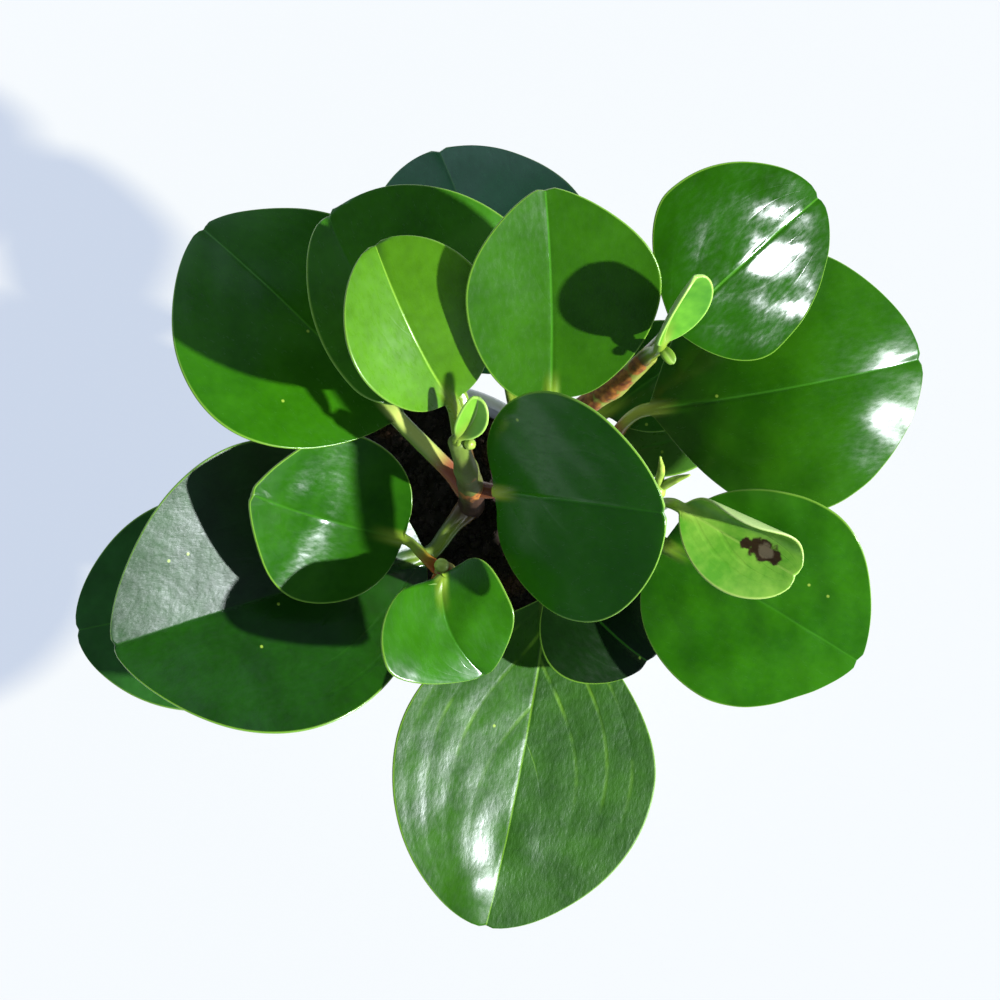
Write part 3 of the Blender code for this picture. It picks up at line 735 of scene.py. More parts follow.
def store(mesh, name, values):
    """Keeps one number for each vertex under a name that a material can read."""
    layer = mesh.attributes.new(name, "FLOAT", "POINT")
    layer.data.foreach_set("value", np.asarray(values, np.float32))


def store_map(mesh, name, across, along):
    """Keeps a flat map of the surface, in metres, for patterns that follow it."""
    layer = mesh.uv_layers.new(name=name)
    corner = np.zeros(len(mesh.loops), np.int32)
    mesh.loops.foreach_get("vertex_index", corner)
    flat = np.stack([np.asarray(across)[corner], np.asarray(along)[corner]], -1) * MM
    layer.data.foreach_set("uv", flat.astype(np.float32).ravel())


def ring_mesh(name, rings):
    """A closed mesh from rings with the same number of points, with a fan of faces at each end."""
    count, size = rings.shape[0], rings.shape[1]
    first = np.arange(count - 1)[:, None] * size
    here = np.arange(size)[None, :]
    nxt = (here + 1) % size
    quads = np.stack([first + here, first + nxt, first + size + nxt, first + size + here], -1)
    points = rings.reshape(-1, 3)
    faces = quads.reshape(-1, 4).tolist()
    for ring, order in ((0, 1), (count - 1, -1)):
        centre = len(points)
        points = np.vstack([points, rings[ring].mean(axis=0)])
        for k in range(size):
            a, b = ring * size + k, ring * size + (k + 1) % size
            faces.append((centre, b, a) if order == 1 else (centre, a, b))
    mesh = bpy.data.meshes.new(name)
    mesh.from_pydata((points * MM).tolist(), [], faces)
    mesh.shade_smooth()
    return mesh


def turn_out(mesh):
    """Makes every face of a closed mesh point outwards."""
    body = bmesh.new()
    body.from_mesh(mesh)
    bmesh.ops.recalc_face_normals(body, faces=body.faces)
    body.to_mesh(mesh)
    body.free()


def with_ends(grid):
    """One row of numbers for the rings, and one more for the middle of each closing end."""
    return np.concatenate([grid.ravel(), [grid[0].mean(), grid[-1].mean()]])


def leaf_mesh(leaf):
    """The closed mesh of one leaf with the numbers that its material reads."""
    top, low, sheet = leaf_arrays(leaf)
    back = slice(-2, 0, -1)
    rings = np.concatenate([top, low[:, back]], axis=1)
    mesh = ring_mesh(leaf.name, rings)
    turn_out(mesh)
    flat = {key: np.concatenate([grid, grid[:, back]], axis=1) for key, grid in sheet.items()}
    under = np.concatenate([np.zeros_like(sheet["x"]), np.ones_like(sheet["x"][:, back])], axis=1)
    for key in ("edge", "vein", "gap"):
        store(mesh, key, with_ends(flat[key]))
    store(mesh, "under", with_ends(under))
    store_map(mesh, "sheet", with_ends(flat["x"]), with_ends(flat["y"]))
    return mesh


print("columns on the largest leaf:", column_shares(LEAVES[0], np.array([0.5]))[0].shape[1])

# %% [markdown]
# ## Leaf finish
#
# A peperomia leaf is a thick, wax-coated blade: a waxy cuticle over deep green flesh. The cuticle gives
# it soft white highlights, and its fine leathery grain breaks them up. The flesh is darkest between
# the veins and lighter along the midrib and the veins, with a pale half-transparent rim and a few
# tiny yellowish specks. The underside is paler and duller. Near the stem the green of the stalk turns
# to reddish brown. Every pattern reads the flat map of the sheet, so it follows the blade's bends.

# %% colour, relief and edge helpers
def near(tree, distance, inner, outer):
    """1 within inner of a line and 0 beyond outer, both in the unit of the distance."""
    return add(tree, "ShaderNodeMapRange", {"interpolation_type": "SMOOTHSTEP", 1: inner, 2: outer,
                                            3: 1.0, 4: 0.0}, {0: distance})


def blend_colour(tree, share, base, colour):
    """Lays a colour, given as a screen colour or a socket, over a base by a share."""
    mix = add(tree, "ShaderNodeMix", {"data_type": "RGBA"})
    tree.links.new(share.outputs[0], mix.inputs[0])
    for place, value in ((6, base), (7, colour)):
        if isinstance(value, str):
            mix.inputs[place].default_value = linear(value)
        else:
            tree.links.new(value.outputs[2] if value.bl_idname == "ShaderNodeMix" else value.outputs[0],
                           mix.inputs[place])
    return mix


def dress(tree, shader, colour, height, depth_mm):
    """Gives the shader its colour, and a normal from a height pattern of a real depth."""
    bump = add(tree, "ShaderNodeBump", {"Strength": 1.0, "Distance": depth_mm * MM}, {"Height": height})
    tree.links.new(colour.outputs[2], shader.inputs["Base Color"])
    tree.links.new(bump.outputs[0], shader.inputs["Normal"])
    return bump


print("a groove of 0.1 mm is", 0.1 * MM, "m deep in a bump")

# %% leaf finish
FLESH_PATCH, FLESH_CLOUD, SPECK_CELL, RAGGED = 12.5, 2.083, 9.1, 2.22
GRAIN, BROAD_GRAIN, GRAIN_DEPTH = 1.111, 3.85, 0.06
SPECKLESS = 0.95
WORN = 0.3
WAX_IOR = 1.45
WAX_TINT = "e6eeff"


def waxy_leaf(leaf):
    """Wax-coated leaf: green flesh under a glossy cuticle with a fine leathery grain."""
    look = CHARACTERS[leaf.name]
    material, tree, shader = new_material("waxy_leaf_" + leaf.name)
    sheet = add(tree, "ShaderNodeUVMap", {"uv_map": "sheet"})
    place = add(tree, "ShaderNodeMapping", {"Location": (leaf.width * 0.013, leaf.height * 0.007, 0)},
                {0: sheet})
    axes = add(tree, "ShaderNodeSeparateXYZ", links={0: sheet})
    aside = add(tree, "ShaderNodeMath", {"operation": "ABSOLUTE"}, {0: axes.outputs[0]})
    along = axes.outputs[1]
    read = {key: add(tree, "ShaderNodeAttribute", {"attribute_name": key}).outputs["Fac"]
            for key in ("edge", "vein", "gap", "under")}

    # mottled flesh: patches of about 12 mm and clouds of about 2 mm
    patches = add(tree, "ShaderNodeTexNoise", {"Scale": per_metre(FLESH_PATCH), "Detail": 3.0}, {0: place})
    clouds = add(tree, "ShaderNodeTexNoise", {"Scale": per_metre(FLESH_CLOUD), "Detail": 2.0}, {0: place})
    both = add(tree, "ShaderNodeMath", {"operation": "MULTIPLY_ADD", 1: 0.35},
               {0: clouds, 2: patches})
    tone = add(tree, "ShaderNodeMapRange", {1: 0.5, 2: 0.85}, {0: both})
    flesh = blend_colour(tree, tone, look.deep, look.pale)

    # side veins: up to 0.75 mm from their middle, broken by the patches, faint on most leaves
    turn = add(tree, "ShaderNodeMath", {"operation": "PINGPONG", 1: 0.5}, {0: read["vein"]})
    off = add(tree, "ShaderNodeMath", {"operation": "MULTIPLY"}, {0: turn, 1: read["gap"]})
    line = near(tree, off.outputs[0], 0.12, 0.75)
    inland = add(tree, "ShaderNodeMapRange", {1: 2.0, 2: 7.0}, {0: read["edge"]})
    low_part = add(tree, "ShaderNodeMapRange", {1: 0.06, 2: 0.02}, {0: along})
    shown = add(tree, "ShaderNodeMath", {"operation": "MULTIPLY"}, {0: inland, 1: low_part})
    shown = add(tree, "ShaderNodeMath", {"operation": "MULTIPLY"}, {0: shown, 1: line})
    broken = add(tree, "ShaderNodeMapRange", {1: 0.42, 2: 0.6, 4: look.veins}, {0: patches})
    faint = add(tree, "ShaderNodeMath", {"operation": "MULTIPLY"}, {0: shown, 1: broken})
    flesh = blend_colour(tree, faint, flesh, look.rib)

    # midrib: a pale line, half a millimetre to each side at the stalk and half that near the tip
    rib_half = add(tree, "ShaderNodeMapRange", {1: 0.0, 2: 0.07, 3: 0.0005, 4: 0.00024}, {0: along})
    ratio = add(tree, "ShaderNodeMath", {"operation": "DIVIDE"}, {0: aside, 1: rib_half})
    rib = near(tree, ratio.outputs[0], 0.25, 1.1)
    rib_part = add(tree, "ShaderNodeMath", {"operation": "MULTIPLY", 1: 0.6}, {0: rib})
    flesh = blend_colour(tree, rib_part, flesh, look.rib)

    # tiny yellowish specks: the blade is cut into cells of 9 mm, and one cell in twenty has one
    cells = add(tree, "ShaderNodeTexVoronoi", {"voronoi_dimensions": "2D", "Scale": per_metre(SPECK_CELL)},
                {0: place})
    dots = near(tree, cells.outputs["Distance"], 0.025, 0.055)
    lot = add(tree, "ShaderNodeSeparateColor", links={0: cells.outputs["Color"]})
    few = add(tree, "ShaderNodeMath", {"operation": "GREATER_THAN", 1: SPECKLESS}, {0: lot})
    specks = add(tree, "ShaderNodeMath", {"operation": "MULTIPLY"}, {0: dots, 1: few})
    flesh = blend_colour(tree, specks, flesh, "7c9a36")

    # pale rim, and a yellowish neck where the stalk runs into the blade
    rim = near(tree, read["edge"], 0.12, 0.6)
    flesh = blend_colour(tree, rim, flesh, look.rim)
    neck = near(tree, along, -0.001, 0.009)
    centre = near(tree, aside.outputs[0], 0.0006, 0.0028)
    neck = add(tree, "ShaderNodeMath", {"operation": "MULTIPLY"}, {0: neck, 1: centre})
    flesh = blend_colour(tree, neck, flesh, look.stalk)
    foot = near(tree, along, -(look.green_stalk + 7) * MM, -look.green_stalk * MM)
    flesh = blend_colour(tree, foot, flesh, look.root)

    # paler, duller underside
    on_blade = add(tree, "ShaderNodeMapRange", {1: -0.004, 2: 0.002, 4: 0.75}, {0: along})
    below = add(tree, "ShaderNodeMath", {"operation": "MULTIPLY"}, {0: read["under"], 1: on_blade})
    flesh = blend_colour(tree, below, flesh, look.back)

    # brown blemishes, with a ragged edge
    spot = add(tree, "ShaderNodeTexCoord").outputs["Object"]
    ragged = add(tree, "ShaderNodeTexNoise", {"Scale": per_metre(RAGGED), "Detail": 4.0}, {0: spot})
    for middle, radius, brown in BLEMISHES.get(leaf.name, []):
        away = add(tree, "ShaderNodeVectorMath", {"operation": "DISTANCE", 1: [m * MM for m in middle]},
                   {0: spot})
        away = add(tree, "ShaderNodeMath", {"operation": "MULTIPLY_ADD", 1: 1.5 * radius * MM},
                   {0: ragged, 2: away.outputs["Value"]})
        mark = near(tree, away, 1.35 * radius * MM, 1.7 * radius * MM)
        flesh = blend_colour(tree, mark, flesh, brown)

    # cuticle: leathery grain of 1 to 4 mm, drawn out along the side veins, and sunk vein lines
    stretch = add(tree, "ShaderNodeMapping", {"Scale": (1.0, 0.45, 1.0), "Rotation": (0, 0, 0.6)},
                  {0: place})
    grain = add(tree, "ShaderNodeTexNoise", {"Scale": per_metre(GRAIN), "Detail": 3.0, "Roughness": 0.6},
                {0: stretch})
    broad = add(tree, "ShaderNodeTexNoise", {"Scale": per_metre(BROAD_GRAIN), "Detail": 2.0}, {0: place})
    height = add(tree, "ShaderNodeMath", {"operation": "MULTIPLY_ADD", 1: 1.4}, {0: broad, 2: grain})
    sunk = add(tree, "ShaderNodeMath", {"operation": "MULTIPLY_ADD", 1: -look.crease},
               {0: shown, 2: height})
    bump = dress(tree, shader, flesh, sunk, GRAIN_DEPTH * look.crinkle)

    # a leaf with one duller half is worn smooth on its other half
    left = near(tree, axes.outputs[0], -0.001, 0.001)
    worn = 1.0 if look.dull_left == look.dull_right else WORN
    left_grain, right_grain = (worn, 1.0) if look.dull_right > look.dull_left else (1.0, worn)
    strength = add(tree, "ShaderNodeMapRange", {3: right_grain, 4: left_grain}, {0: left})
    tree.links.new(strength.outputs[0], bump.inputs["Strength"])
    dull = add(tree, "ShaderNodeMapRange", {1: 0.3, 2: 0.7, 3: look.rough - 0.05, 4: look.rough + 0.07},
               {0: grain})
    dull = add(tree, "ShaderNodeMath", {"operation": "MULTIPLY_ADD", 1: 0.2}, {0: below, 2: dull})
    side = add(tree, "ShaderNodeMapRange", {3: look.dull_right, 4: look.dull_left}, {0: left})
    dull = add(tree, "ShaderNodeMath", {"operation": "ADD"}, {0: dull, 1: side})
    tree.links.new(dull.outputs[0], shader.inputs["Roughness"])
    shader.inputs["IOR"].default_value = WAX_IOR
    shader.inputs["Specular IOR Level"].default_value = look.shine
    shader.inputs["Specular Tint"].default_value = linear(WAX_TINT)
    return material


print("grain of the cuticle:", GRAIN, "mm wide and", GRAIN_DEPTH, "mm deep")

# %% [markdown]
# ## Making the leaves
#
# Every leaf now takes the place of its CAD solid. The object stays at the origin, and its place is in
# its mesh, as with the CAD nodes.

# %% make the leaves
def place_piece(name, mesh, node):
    """Puts a finished mesh into the scene, on the plant's one body, in a CAD node's place."""
    piece = bpy.data.objects.new(name, mesh)
    scene.collection.objects.link(piece)
    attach(piece, "root")
    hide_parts(node)
    return piece


triangles = 0
for leaf in LEAVES:
    mesh = leaf_mesh(leaf)
    mesh.materials.append(waxy_leaf(leaf))
    place_piece(leaf.name + "_fine", mesh, leaf.name)
    triangles += sum(len(p.vertices) - 2 for p in mesh.polygons)
print("leaves:", triangles, "triangles")

# %% [markdown]
# ## Stems
#
# The stems are fleshy, as thick as a pencil at the soil and thinner at the top. Each is a tube along
# the same curve as its CAD solid, swollen where a leaf grows out, with a rounded top. Rings round a
# curve are the plainest way here, because the swellings can be added to the radii.

# %% stem form
STEM_SIDES = 40
STEM_RINGS = 150
STEM_RIDGE = 0.05 / 3
CAP_HEIGHT = 1.3
CAP_TURNS = (20, 40, 58, 74, 86)


def cross_directions(path):
    """Two directions across a path at each of its points, without twist."""
    tangents = [unit(v) for v in np.gradient(path, axis=0)]
    across = unit(np.cross(tangents[0], (1.0, 0.0, 0.0)))
    frames = []
    for tangent in tangents:
        across = unit(across - tangent * np.dot(across, tangent))
        frames.append((across, np.cross(tangent, across)))
    return frames


def tube(path, radii, sides, ridges=0.0):
    """Rings of points round a path."""
    turns = np.arange(sides) * 2 * math.pi / sides
    rings = []
    for row, (centre, (a, b), radius) in enumerate(zip(path, cross_directions(path), radii)):
        rough = 1 + ridges * (np.sin(5 * turns + row * 0.05) + 0.6 * np.sin(11 * turns - row * 0.11))
        around = np.multiply.outer(np.cos(turns), a) + np.multiply.outer(np.sin(turns), b)
        rings.append(centre + (radius * rough)[:, None] * around)
    return np.array(rings)


def stem_rings(name):
    """Middles and radii of a stem's rings, in millimetres."""
    path = smooth_path(STEMS[name], STEM_RINGS)
    share = np.linspace(0, 1, STEM_RINGS)
    radii = STEM_RADIUS * (1 - (1 - STEM_TOP_SHARE) * share)
    for leaf in LEAVES:
        if leaf.stem == name:
            away = np.linalg.norm(path - stem_point(leaf), axis=1)
            radii = radii + NODE_SWELL * np.exp(-((away / NODE_LENGTH) ** 2))
    run = unit(path[-1] - path[-2])
    cap = np.radians(CAP_TURNS)
    path = np.vstack([path] + [path[-1] + run * CAP_HEIGHT * math.sin(t) for t in cap])
    return path, np.concatenate([radii, radii[-1] * np.cos(cap)])


print("stem_upper is", round(2 * stem_rings("stem_upper")[1][0], 1), "mm thick at its foot")

# %% [markdown]
# ## Stem skin
#
# The skin of a peperomia stem is soft and light green while it is young. With age it turns brown from
# the soil upwards and cracks into cork round the leaf scars, which gives the eye rough rusty patches.
# Small pale-brown dots, through which the stem breathes, lie all over it. The height above the table
# tells young from old, and each corky place is a point with a radius. The old brown low on the stems
# is also darkened into painted shade, for the shadow that the leaves cast on them.

# %% stem finish
BARK_GRAIN, SKIN_PATCH, PORE_CELL, BARK_DEPTH = 1.428, 6.67, 2.38, 0.12
GREEN_ABOVE, BROWN_BELOW = 0.008, -0.025


def fleshy_stem(name, young, old_and_shaded, turn_height):
    """Green stem skin with corky specks, brown and corky toward the soil, darkened there as painted shade.
    """
    material, tree, shader = new_material("fleshy_" + name)
    spot = add(tree, "ShaderNodeTexCoord").outputs["Object"]
    height = add(tree, "ShaderNodeSeparateXYZ", links={0: spot})
    fine = add(tree, "ShaderNodeTexNoise", {"Scale": per_metre(BARK_GRAIN), "Detail": 4.0}, {0: spot})
    wide = add(tree, "ShaderNodeTexNoise", {"Scale": per_metre(SKIN_PATCH), "Detail": 3.0}, {0: spot})
    # below the turn height the brown stands for age and also for painted shade under the leaves
    age_and_shade = add(tree, "ShaderNodeMapRange", {1: turn_height + GREEN_ABOVE, 2: turn_height + BROWN_BELOW},
              {0: height.outputs[2]})
    patchy = add(tree, "ShaderNodeMath", {"operation": "MULTIPLY_ADD", 1: 0.9}, {0: wide, 2: age_and_shade})
    patchy = add(tree, "ShaderNodeMapRange", {1: 0.45, 2: 1.1}, {0: patchy})
    skin = blend_colour(tree, patchy, young, old_and_shaded)
    cork = add(tree, "ShaderNodeAttribute", {"attribute_name": "cork"})
    rough_edge = add(tree, "ShaderNodeMath", {"operation": "MULTIPLY_ADD", 1: 0.8, 2: -0.4}, {0: fine})
    edge = add(tree, "ShaderNodeMath", {"operation": "ADD"}, {0: cork.outputs["Fac"], 1: rough_edge})
    edge = add(tree, "ShaderNodeMapRange", {1: 0.4, 2: 0.6}, {0: edge})
    grain = add(tree, "ShaderNodeMapRange", {1: 0.35, 2: 0.65}, {0: fine})
    bark = blend_colour(tree, grain, "5a2a14", "9a6428")
    skin = blend_colour(tree, edge, skin, bark)
    cells = add(tree, "ShaderNodeTexVoronoi", {"Scale": per_metre(PORE_CELL)}, {0: spot})
    dots = near(tree, cells.outputs["Distance"], 0.1, 0.2)
    dots = add(tree, "ShaderNodeMath", {"operation": "MULTIPLY", 1: 0.6}, {0: dots})
    skin = blend_colour(tree, dots, skin, "5a4a20")
    dress(tree, shader, skin, fine, BARK_DEPTH)
    shader.inputs["Roughness"].default_value = 0.5
    return material


def store_cork(mesh, spots):
    """Marks corky places: each spot is a middle and a radius in millimetres."""
    points = np.zeros(len(mesh.vertices) * 3, np.float32)
    mesh.vertices.foreach_get("co", points)
    points = points.reshape(-1, 3) / MM
    cork = np.zeros(len(points))
    for middle, radius in spots:
        away = np.linalg.norm(points - np.array(middle), axis=1)
        cork = np.maximum(cork, np.clip(1.5 - away / radius, 0, 1))
    store(mesh, "cork", cork)


# each stem: young green, old brown darkened into painted shade, and the height in metres where they meet
STEM_SKINS = {
    "stem_upper": ("7e8c34", "543e1e", 0.116),
    "stem_middle": ("587028", "341e10", 0.129),
    "stem_left": ("7c7c34", "3a2414", 0.112),
    "stem_right": ("7c9a3c", "4a3420", 0.116),
}
CORK = {
    "stem_upper": [((39, 32, 121), 4.5), ((43, 35, 127), 4.0), ((35, 28, 116), 3.5),
                   ((46.5, 36.5, 131), 3.2), ((50, 39.5, 135.5), 2.4)],
    "stem_middle": [((11, 11, 119), 3.5), ((10.5, 14, 127), 2.0)],
    "stem_left": [((4.5, -9.5, 118), 2.0)],
    "stem_right": [((40, 4, 108), 3.0)],
}
for name in STEMS:
    path, radii = stem_rings(name)
    mesh = ring_mesh(name, tube(path, radii, STEM_SIDES, STEM_RIDGE))
    turn_out(mesh)
    store_cork(mesh, CORK[name])
    mesh.materials.append(fleshy_stem(name, *STEM_SKINS[name]))
    place_piece(name + "_fine", mesh, name)
print("stems made:", len(STEMS))

# %% [markdown]
# ## Sprouts, buds and scales
#
# The tips of the stems end in folded young leaves, egg-shaped buds and pointed scales. They use the
# same leaf form, a turned egg and a tapering tube, in a lighter green. Their skin is thin and still
# soft, so it has a satin gloss and shows fine lighter and darker patches.

# %% growing tips
BUDS = [
    ("stem_middle", (11, 21, 140.5), 1.4, 2.0),
    ("stem_left", (3.7, -8.0, 119.1), 1.8, 2.2),
    ("stem_right", (54.8, 10.2, 135), 2.3, 3.2),
]
SCALES = [
    ((55, 11, 136), (55.5, 15, 140), (55, 18, 143)),
    ((55.5, 11, 136), (59, 12.8, 140), (62, 13.8, 142)),
]
SCALE_RADII = (1.3, 0.9, 0.25)
BUD_RINGS, BUD_SIDES, BUD_END, BUD_RIDGE = 22, 24, 0.06, 0.02
SCALE_RINGS, SCALE_SIDES, SCALE_RIDGE = 16, 16, 0.03
BUD_PATCH, BUD_DEPTH = 2.0, 0.08


def young_skin():
    """Soft young plant skin: lime green with a satin gloss."""
    material, tree, shader = new_material("young_bud_skin")
    spot = add(tree, "ShaderNodeTexCoord").outputs["Object"]
    fine = add(tree, "ShaderNodeTexNoise", {"Scale": per_metre(BUD_PATCH), "Detail": 3.0}, {0: spot})
    tone = add(tree, "ShaderNodeMapRange", {1: 0.35, 2: 0.65}, {0: fine})
    dress(tree, shader, blend_colour(tree, tone, "6a8a2c", "9ab84a"), fine, BUD_DEPTH)
    shader.inputs["Roughness"].default_value = 0.4
    return material


bud_skin = young_skin()
for leaf in SPROUTS:
    mesh = leaf_mesh(leaf)
    mesh.materials.append(waxy_leaf(leaf))
    place_piece(leaf.name, mesh, leaf.stem)
for stem, centre, wide, tall in BUDS:
    turns = np.linspace(BUD_END, math.pi - BUD_END, BUD_RINGS)
    path = np.array([np.array(centre) - (0, 0, tall * math.cos(t)) for t in turns])
    mesh = ring_mesh("bud", tube(path, wide * np.sin(turns), BUD_SIDES, BUD_RIDGE))
    turn_out(mesh)
    mesh.materials.append(bud_skin)
    place_piece(f"bud_{stem}", mesh, stem)
for number, points in enumerate(SCALES):
    path = smooth_path(points, SCALE_RINGS)
    radii = np.interp(np.linspace(0, 2, SCALE_RINGS), (0, 1, 2), SCALE_RADII)
    mesh = ring_mesh("scale", tube(path, radii, SCALE_SIDES, SCALE_RIDGE))
    turn_out(mesh)
    mesh.materials.append(bud_skin)
    place_piece(f"scale_{number + 1}", mesh, "stem_right")
print("growing tips:", len(SPROUTS) + len(BUDS) + len(SCALES))

# %% [markdown]
# ## Pot
#
# The pot is a plain glazed cover pot, almost hidden under the leaves. A turned piece is a profile spun
# round an axis: flat foot, small round at its edge, straight tapered wall, half-round lip, and down
# the inside to the floor.

# %% pot form
POT_HEIGHT = 80.0
POT_TOP_RADIUS = 39.0
POT_FOOT_RADIUS = 29.0
POT_WALL = 3.0
POT_FLOOR = 5.0
POT_EDGE = 1.2
POT_SIDES = 160


def pot_radius(height):
    """Outer radius of the wall at a height, without the rounds at its foot and lip."""
    return POT_FOOT_RADIUS + (POT_TOP_RADIUS - POT_FOOT_RADIUS) * height / POT_HEIGHT


def arc(middle_radius, middle_height, radius, start, end, steps):
    """Points of a round in the profile, angles in degrees."""
    turns = np.radians(np.linspace(start, end, steps))
    return [(middle_radius + radius * math.cos(t), middle_height + radius * math.sin(t)) for t in turns]


def spin(name, profile, sides):
    """A closed body turned round Z from a profile that starts and ends near the axis."""
    turns = np.arange(sides) * 2 * math.pi / sides
    rings = np.array([[(r * math.cos(t), r * math.sin(t), z) for t in turns] for r, z in profile])
    mesh = ring_mesh(name, rings)
    turn_out(mesh)
    return mesh


half = POT_WALL / 2
bend = 2 * POT_EDGE
corner = pot_radius(POT_FLOOR + bend) - POT_WALL - bend
outer = [(pot_radius(z), z) for z in np.linspace(6, POT_HEIGHT - 6, 24)]
inner = [(pot_radius(z) - POT_WALL, z) for z in np.linspace(POT_HEIGHT - 6, 12, 20)]
profile = [(1, 0), (14, 0), (POT_FOOT_RADIUS - POT_EDGE - 1, 0),
           *arc(POT_FOOT_RADIUS - POT_EDGE, POT_EDGE, POT_EDGE, -90, -8, 7), *outer,
           *arc(POT_TOP_RADIUS - half, POT_HEIGHT - half, half, -8, 188, 17), *inner,
           *arc(corner, POT_FLOOR + bend, bend, 0, -90, 7), (14, POT_FLOOR), (1, POT_FLOOR)]
pot_mesh = spin("pot", profile, POT_SIDES)
print("pot profile has", len(profile), "points")

# %% [markdown]
# ## Glaze
#
# The pot is stoneware with a white glaze, dipped and fired. Molten glaze settles almost flat, so it
# shines, but it keeps faint orange-peel waves and a few pinholes, and it thins to a warmer white over
# the lip and the foot, where the clay shows through.

# %% glaze
GLAZE_CLOUD, PINHOLE_CELL, PEEL, PEEL_DEPTH = 16.7, 7.14, 3.33, 0.04
LIP_FROM, LIP_FULL = 0.0785, 0.0802
FOOT_FROM, FOOT_FULL = 0.0022, 0.0008
GLAZE_IOR = 1.5


def white_glaze():
    """White glaze on stoneware: smooth and shiny, thinner and warmer at the lip and the foot."""
    material, tree, shader = new_material("white_stoneware_glaze")
    spot = add(tree, "ShaderNodeTexCoord").outputs["Object"]
    height = add(tree, "ShaderNodeSeparateXYZ", links={0: spot})
    clouds = add(tree, "ShaderNodeTexNoise", {"Scale": per_metre(GLAZE_CLOUD), "Detail": 4.0}, {0: spot})
    tone = add(tree, "ShaderNodeMapRange", {1: 0.35, 2: 0.65}, {0: clouds})
    white = blend_colour(tree, tone, "ced2d8", "d8dbde")
    lip = add(tree, "ShaderNodeMapRange", {1: LIP_FROM, 2: LIP_FULL}, {0: height.outputs[2]})
    foot = add(tree, "ShaderNodeMapRange", {1: FOOT_FROM, 2: FOOT_FULL}, {0: height.outputs[2]})
    thin = add(tree, "ShaderNodeMath", {"operation": "MAXIMUM"}, {0: lip, 1: foot})
    thin = add(tree, "ShaderNodeMath", {"operation": "MULTIPLY", 1: 0.6}, {0: thin})
    white = blend_colour(tree, thin, white, "c6bfb2")
    holes = add(tree, "ShaderNodeTexVoronoi", {"Scale": per_metre(PINHOLE_CELL)}, {0: spot})
    pits = near(tree, holes.outputs["Distance"], 0.02, 0.045)
    white = blend_colour(tree, pits, white, "a8a298")
    peel = add(tree, "ShaderNodeTexNoise", {"Scale": per_metre(PEEL), "Detail": 1.0}, {0: spot})
    dress(tree, shader, white, peel, PEEL_DEPTH)
    rough = add(tree, "ShaderNodeMapRange", {1: 0.3, 2: 0.7, 3: 0.12, 4: 0.22}, {0: clouds})
    tree.links.new(rough.outputs[0], shader.inputs["Roughness"])
    shader.inputs["IOR"].default_value = GLAZE_IOR
    return material


pot_mesh.materials.append(white_glaze())
place_piece("pot_fine", pot_mesh, "pot")
print("pot placed, with pinholes", PINHOLE_CELL, "mm apart")

# %% [markdown]
# ## Soil
#
# The potting soil is dark, crumbly peat with bits of bark. Its body is a plug with an uneven top,
# spun from a profile as the pot is, and then raised and lowered by slow waves.

# %% soil body
SOIL_SIDES = 120
SOIL_TOP = 67.0
SOIL_RISE = 4.0
SOIL_RINGS = 34
GAP = 0.3


def soil_bump(x, y):
    """Uneven height of the soil's surface."""
    swell = 0.9 * np.sin(0.31 * x + 1.0) * np.sin(0.27 * y)
    return swell + 0.5 * np.sin(0.62 * x + 0.5 * y) + 0.4 * np.sin(0.9 * y - 0.4 * x)


low = POT_FLOOR + GAP
wall_low = pot_radius(low + bend) - POT_WALL - GAP
wall_top = pot_radius(SOIL_TOP - 1) - POT_WALL - GAP
shares = np.linspace(0.97, 0.03, SOIL_RINGS)
profile = [(1, low), (wall_low - bend, low), (wall_low, low + bend),
           (wall_top, SOIL_TOP - 1), *[(wall_top * r, SOIL_TOP + SOIL_RISE * (1 - r**2)) for r in shares]]
soil_mesh = spin("soil", profile, SOIL_SIDES)
for vertex in soil_mesh.vertices:
    if vertex.co.z >= SOIL_TOP * MM:
        vertex.co.z += float(soil_bump(vertex.co.x / MM, vertex.co.y / MM)) * MM
print("soil body:", len(soil_mesh.polygons), "faces")

# %% [markdown]
# ## Damp peat
#
# Peat is half-rotted moss. Damp, it swallows the light, so the eye sees an almost black brown with a
# few lighter fibres and bits of bark, and no shine at all.

# %% soil finish
PEAT_GRAIN, BARK_BIT, PEAT_DEPTH = 3.125, 11.1, 0.4


def peat():
    """Damp peat: almost black brown, dull, with lighter fibres and dust."""
    material, tree, shader = new_material("damp_peat")
    spot = add(tree, "ShaderNodeTexCoord").outputs["Object"]
    coarse = add(tree, "ShaderNodeTexNoise",
                 {"Scale": per_metre(PEAT_GRAIN), "Detail": 5.0, "Roughness": 0.7}, {0: spot})
    tone = add(tree, "ShaderNodeMapRange", {1: 0.35, 2: 0.7}, {0: coarse})
    dark = blend_colour(tree, tone, "0c0805", "261a12")
    bits = add(tree, "ShaderNodeTexNoise", {"Scale": per_metre(BARK_BIT), "Detail": 3.0}, {0: spot})
    some = add(tree, "ShaderNodeMapRange", {1: 0.56, 2: 0.66}, {0: bits})
    dark = blend_colour(tree, some, dark, "3e2814")
    dress(tree, shader, dark, coarse, PEAT_DEPTH)
    shader.inputs["Roughness"].default_value = 0.92
    return material


peat_finish = peat()
soil_mesh.materials.append(peat_finish)
place_piece("soil_fine", soil_mesh, "soil")
print("peat grain:", PEAT_GRAIN, "mm wide and", PEAT_DEPTH, "mm deep")

# %% [markdown]
# ## Crumbs
#
# The crumbs on the soil repeat by the hundred, so Geometry Nodes scatter them: points on the top
# face, one lumpy stone on each, turned, stretched and scaled at random from a fixed seed. A stone of
# twenty faces is enough, because each crumb is only a pixel or two wide. The modifier's result is
# kept as a plain mesh.

# %% crumbs
CRUMBS_PER_M2 = 500000
CRUMB_SIZE = (0.0005, 0.0016)
CRUMB_SEED = 7
FACES_UP = 0.5
ABOVE_BODY = 0.06
FULL_TURN = 6.28
CRUMB_SHAPE = ((0.6, 0.6, 0.4), (1.4, 1.2, 0.9))


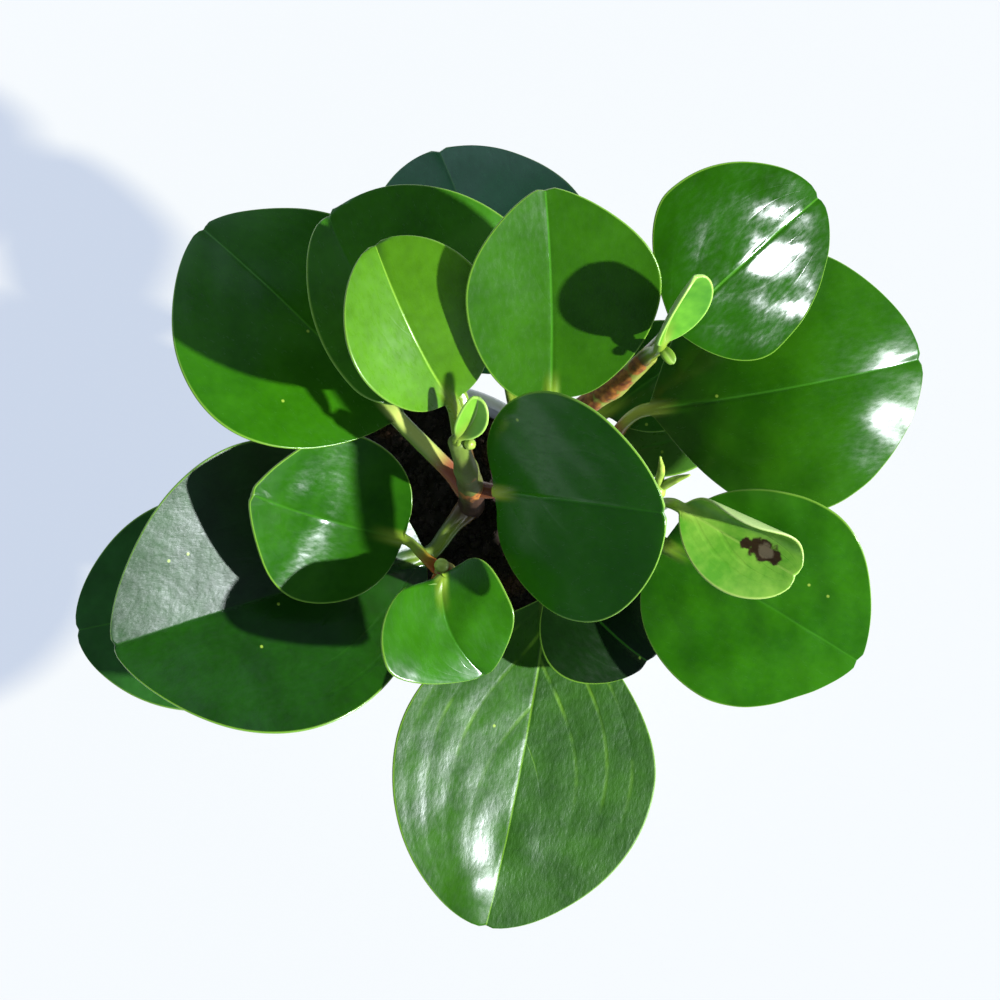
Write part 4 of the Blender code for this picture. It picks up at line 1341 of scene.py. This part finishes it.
def crumb_tree():
    """Geometry Nodes that scatter lumpy crumbs on the upward faces of a mesh."""
    tree = bpy.data.node_groups.new("soil crumbs", "GeometryNodeTree")
    face = tree.interface
    face.new_socket("Geometry", in_out="INPUT", socket_type="NodeSocketGeometry")
    for name, kind in (("Crumbs per square metre", "NodeSocketFloat"), ("Smallest", "NodeSocketFloat"),
                       ("Largest", "NodeSocketFloat"), ("Seed", "NodeSocketInt"),
                       ("Finish", "NodeSocketMaterial")):
        face.new_socket(name, in_out="INPUT", socket_type=kind)
    face.new_socket("Geometry", in_out="OUTPUT", socket_type="NodeSocketGeometry")
    given = add(tree, "NodeGroupInput")
    normal = add(tree, "GeometryNodeInputNormal")
    up = add(tree, "ShaderNodeSeparateXYZ", links={0: normal})
    place = add(tree, "GeometryNodeInputPosition")
    height = add(tree, "ShaderNodeSeparateXYZ", links={0: place})
    facing = add(tree, "FunctionNodeCompare", {"operation": "GREATER_THAN", 1: FACES_UP},
                 {0: up.outputs[2]})
    above = add(tree, "FunctionNodeCompare", {"operation": "GREATER_THAN", 1: ABOVE_BODY},
                {0: height.outputs[2]})
    both = add(tree, "FunctionNodeBooleanMath", {"operation": "AND"}, {0: facing, 1: above})
    points = add(tree, "GeometryNodeDistributePointsOnFaces", {"distribute_method": "RANDOM"},
                 {"Mesh": given.outputs["Geometry"], "Selection": both,
                  "Density": given.outputs["Crumbs per square metre"], "Seed": given.outputs["Seed"]})
    stone = add(tree, "GeometryNodeMeshIcoSphere", {"Radius": 1.0, "Subdivisions": 1})
    turn = add(tree, "FunctionNodeRandomValue", {"data_type": "FLOAT_VECTOR", 1: (FULL_TURN,) * 3},
               {"Seed": given.outputs["Seed"]})
    size = add(tree, "FunctionNodeRandomValue", {"data_type": "FLOAT"},
               {2: given.outputs["Smallest"], 3: given.outputs["Largest"],
                "Seed": given.outputs["Seed"]})
    shape = add(tree, "FunctionNodeRandomValue", {"data_type": "FLOAT_VECTOR", 0: CRUMB_SHAPE[0],
                                                  1: CRUMB_SHAPE[1]})
    scale = add(tree, "ShaderNodeVectorMath", {"operation": "SCALE"}, {0: shape, "Scale": size.outputs[1]})
    spread = add(tree, "GeometryNodeInstanceOnPoints", links={
        "Points": points, "Instance": stone, "Rotation": turn.outputs[0], "Scale": scale})
    real = add(tree, "GeometryNodeRealizeInstances", links={0: spread})
    coat = add(tree, "GeometryNodeSetMaterial", links={0: real, "Material": given.outputs["Finish"]})
    add(tree, "NodeGroupOutput", links={0: coat})
    return tree


def apply_nodes(item, tree, values):
    """Runs a node tree on an object and gives the result as a plain mesh."""
    step = item.modifiers.new("nodes", "NODES")
    step.node_group = tree
    for socket in tree.interface.items_tree:
        if socket.in_out == "INPUT" and socket.name in values:
            step[socket.identifier] = values[socket.name]
    graph = bpy.context.evaluated_depsgraph_get()
    mesh = bpy.data.meshes.new_from_object(item.evaluated_get(graph))
    item.modifiers.remove(step)
    return mesh


guide = bpy.data.objects.new("guide", soil_mesh.copy())
scene.collection.objects.link(guide)
crumbs = apply_nodes(guide, crumb_tree(), {
    "Crumbs per square metre": float(CRUMBS_PER_M2), "Smallest": CRUMB_SIZE[0], "Largest": CRUMB_SIZE[1],
    "Seed": CRUMB_SEED, "Finish": peat_finish})
bpy.data.objects.remove(guide)
place_piece("soil_crumbs", crumbs, "soil")
print("crumb faces:", len(crumbs.polygons))
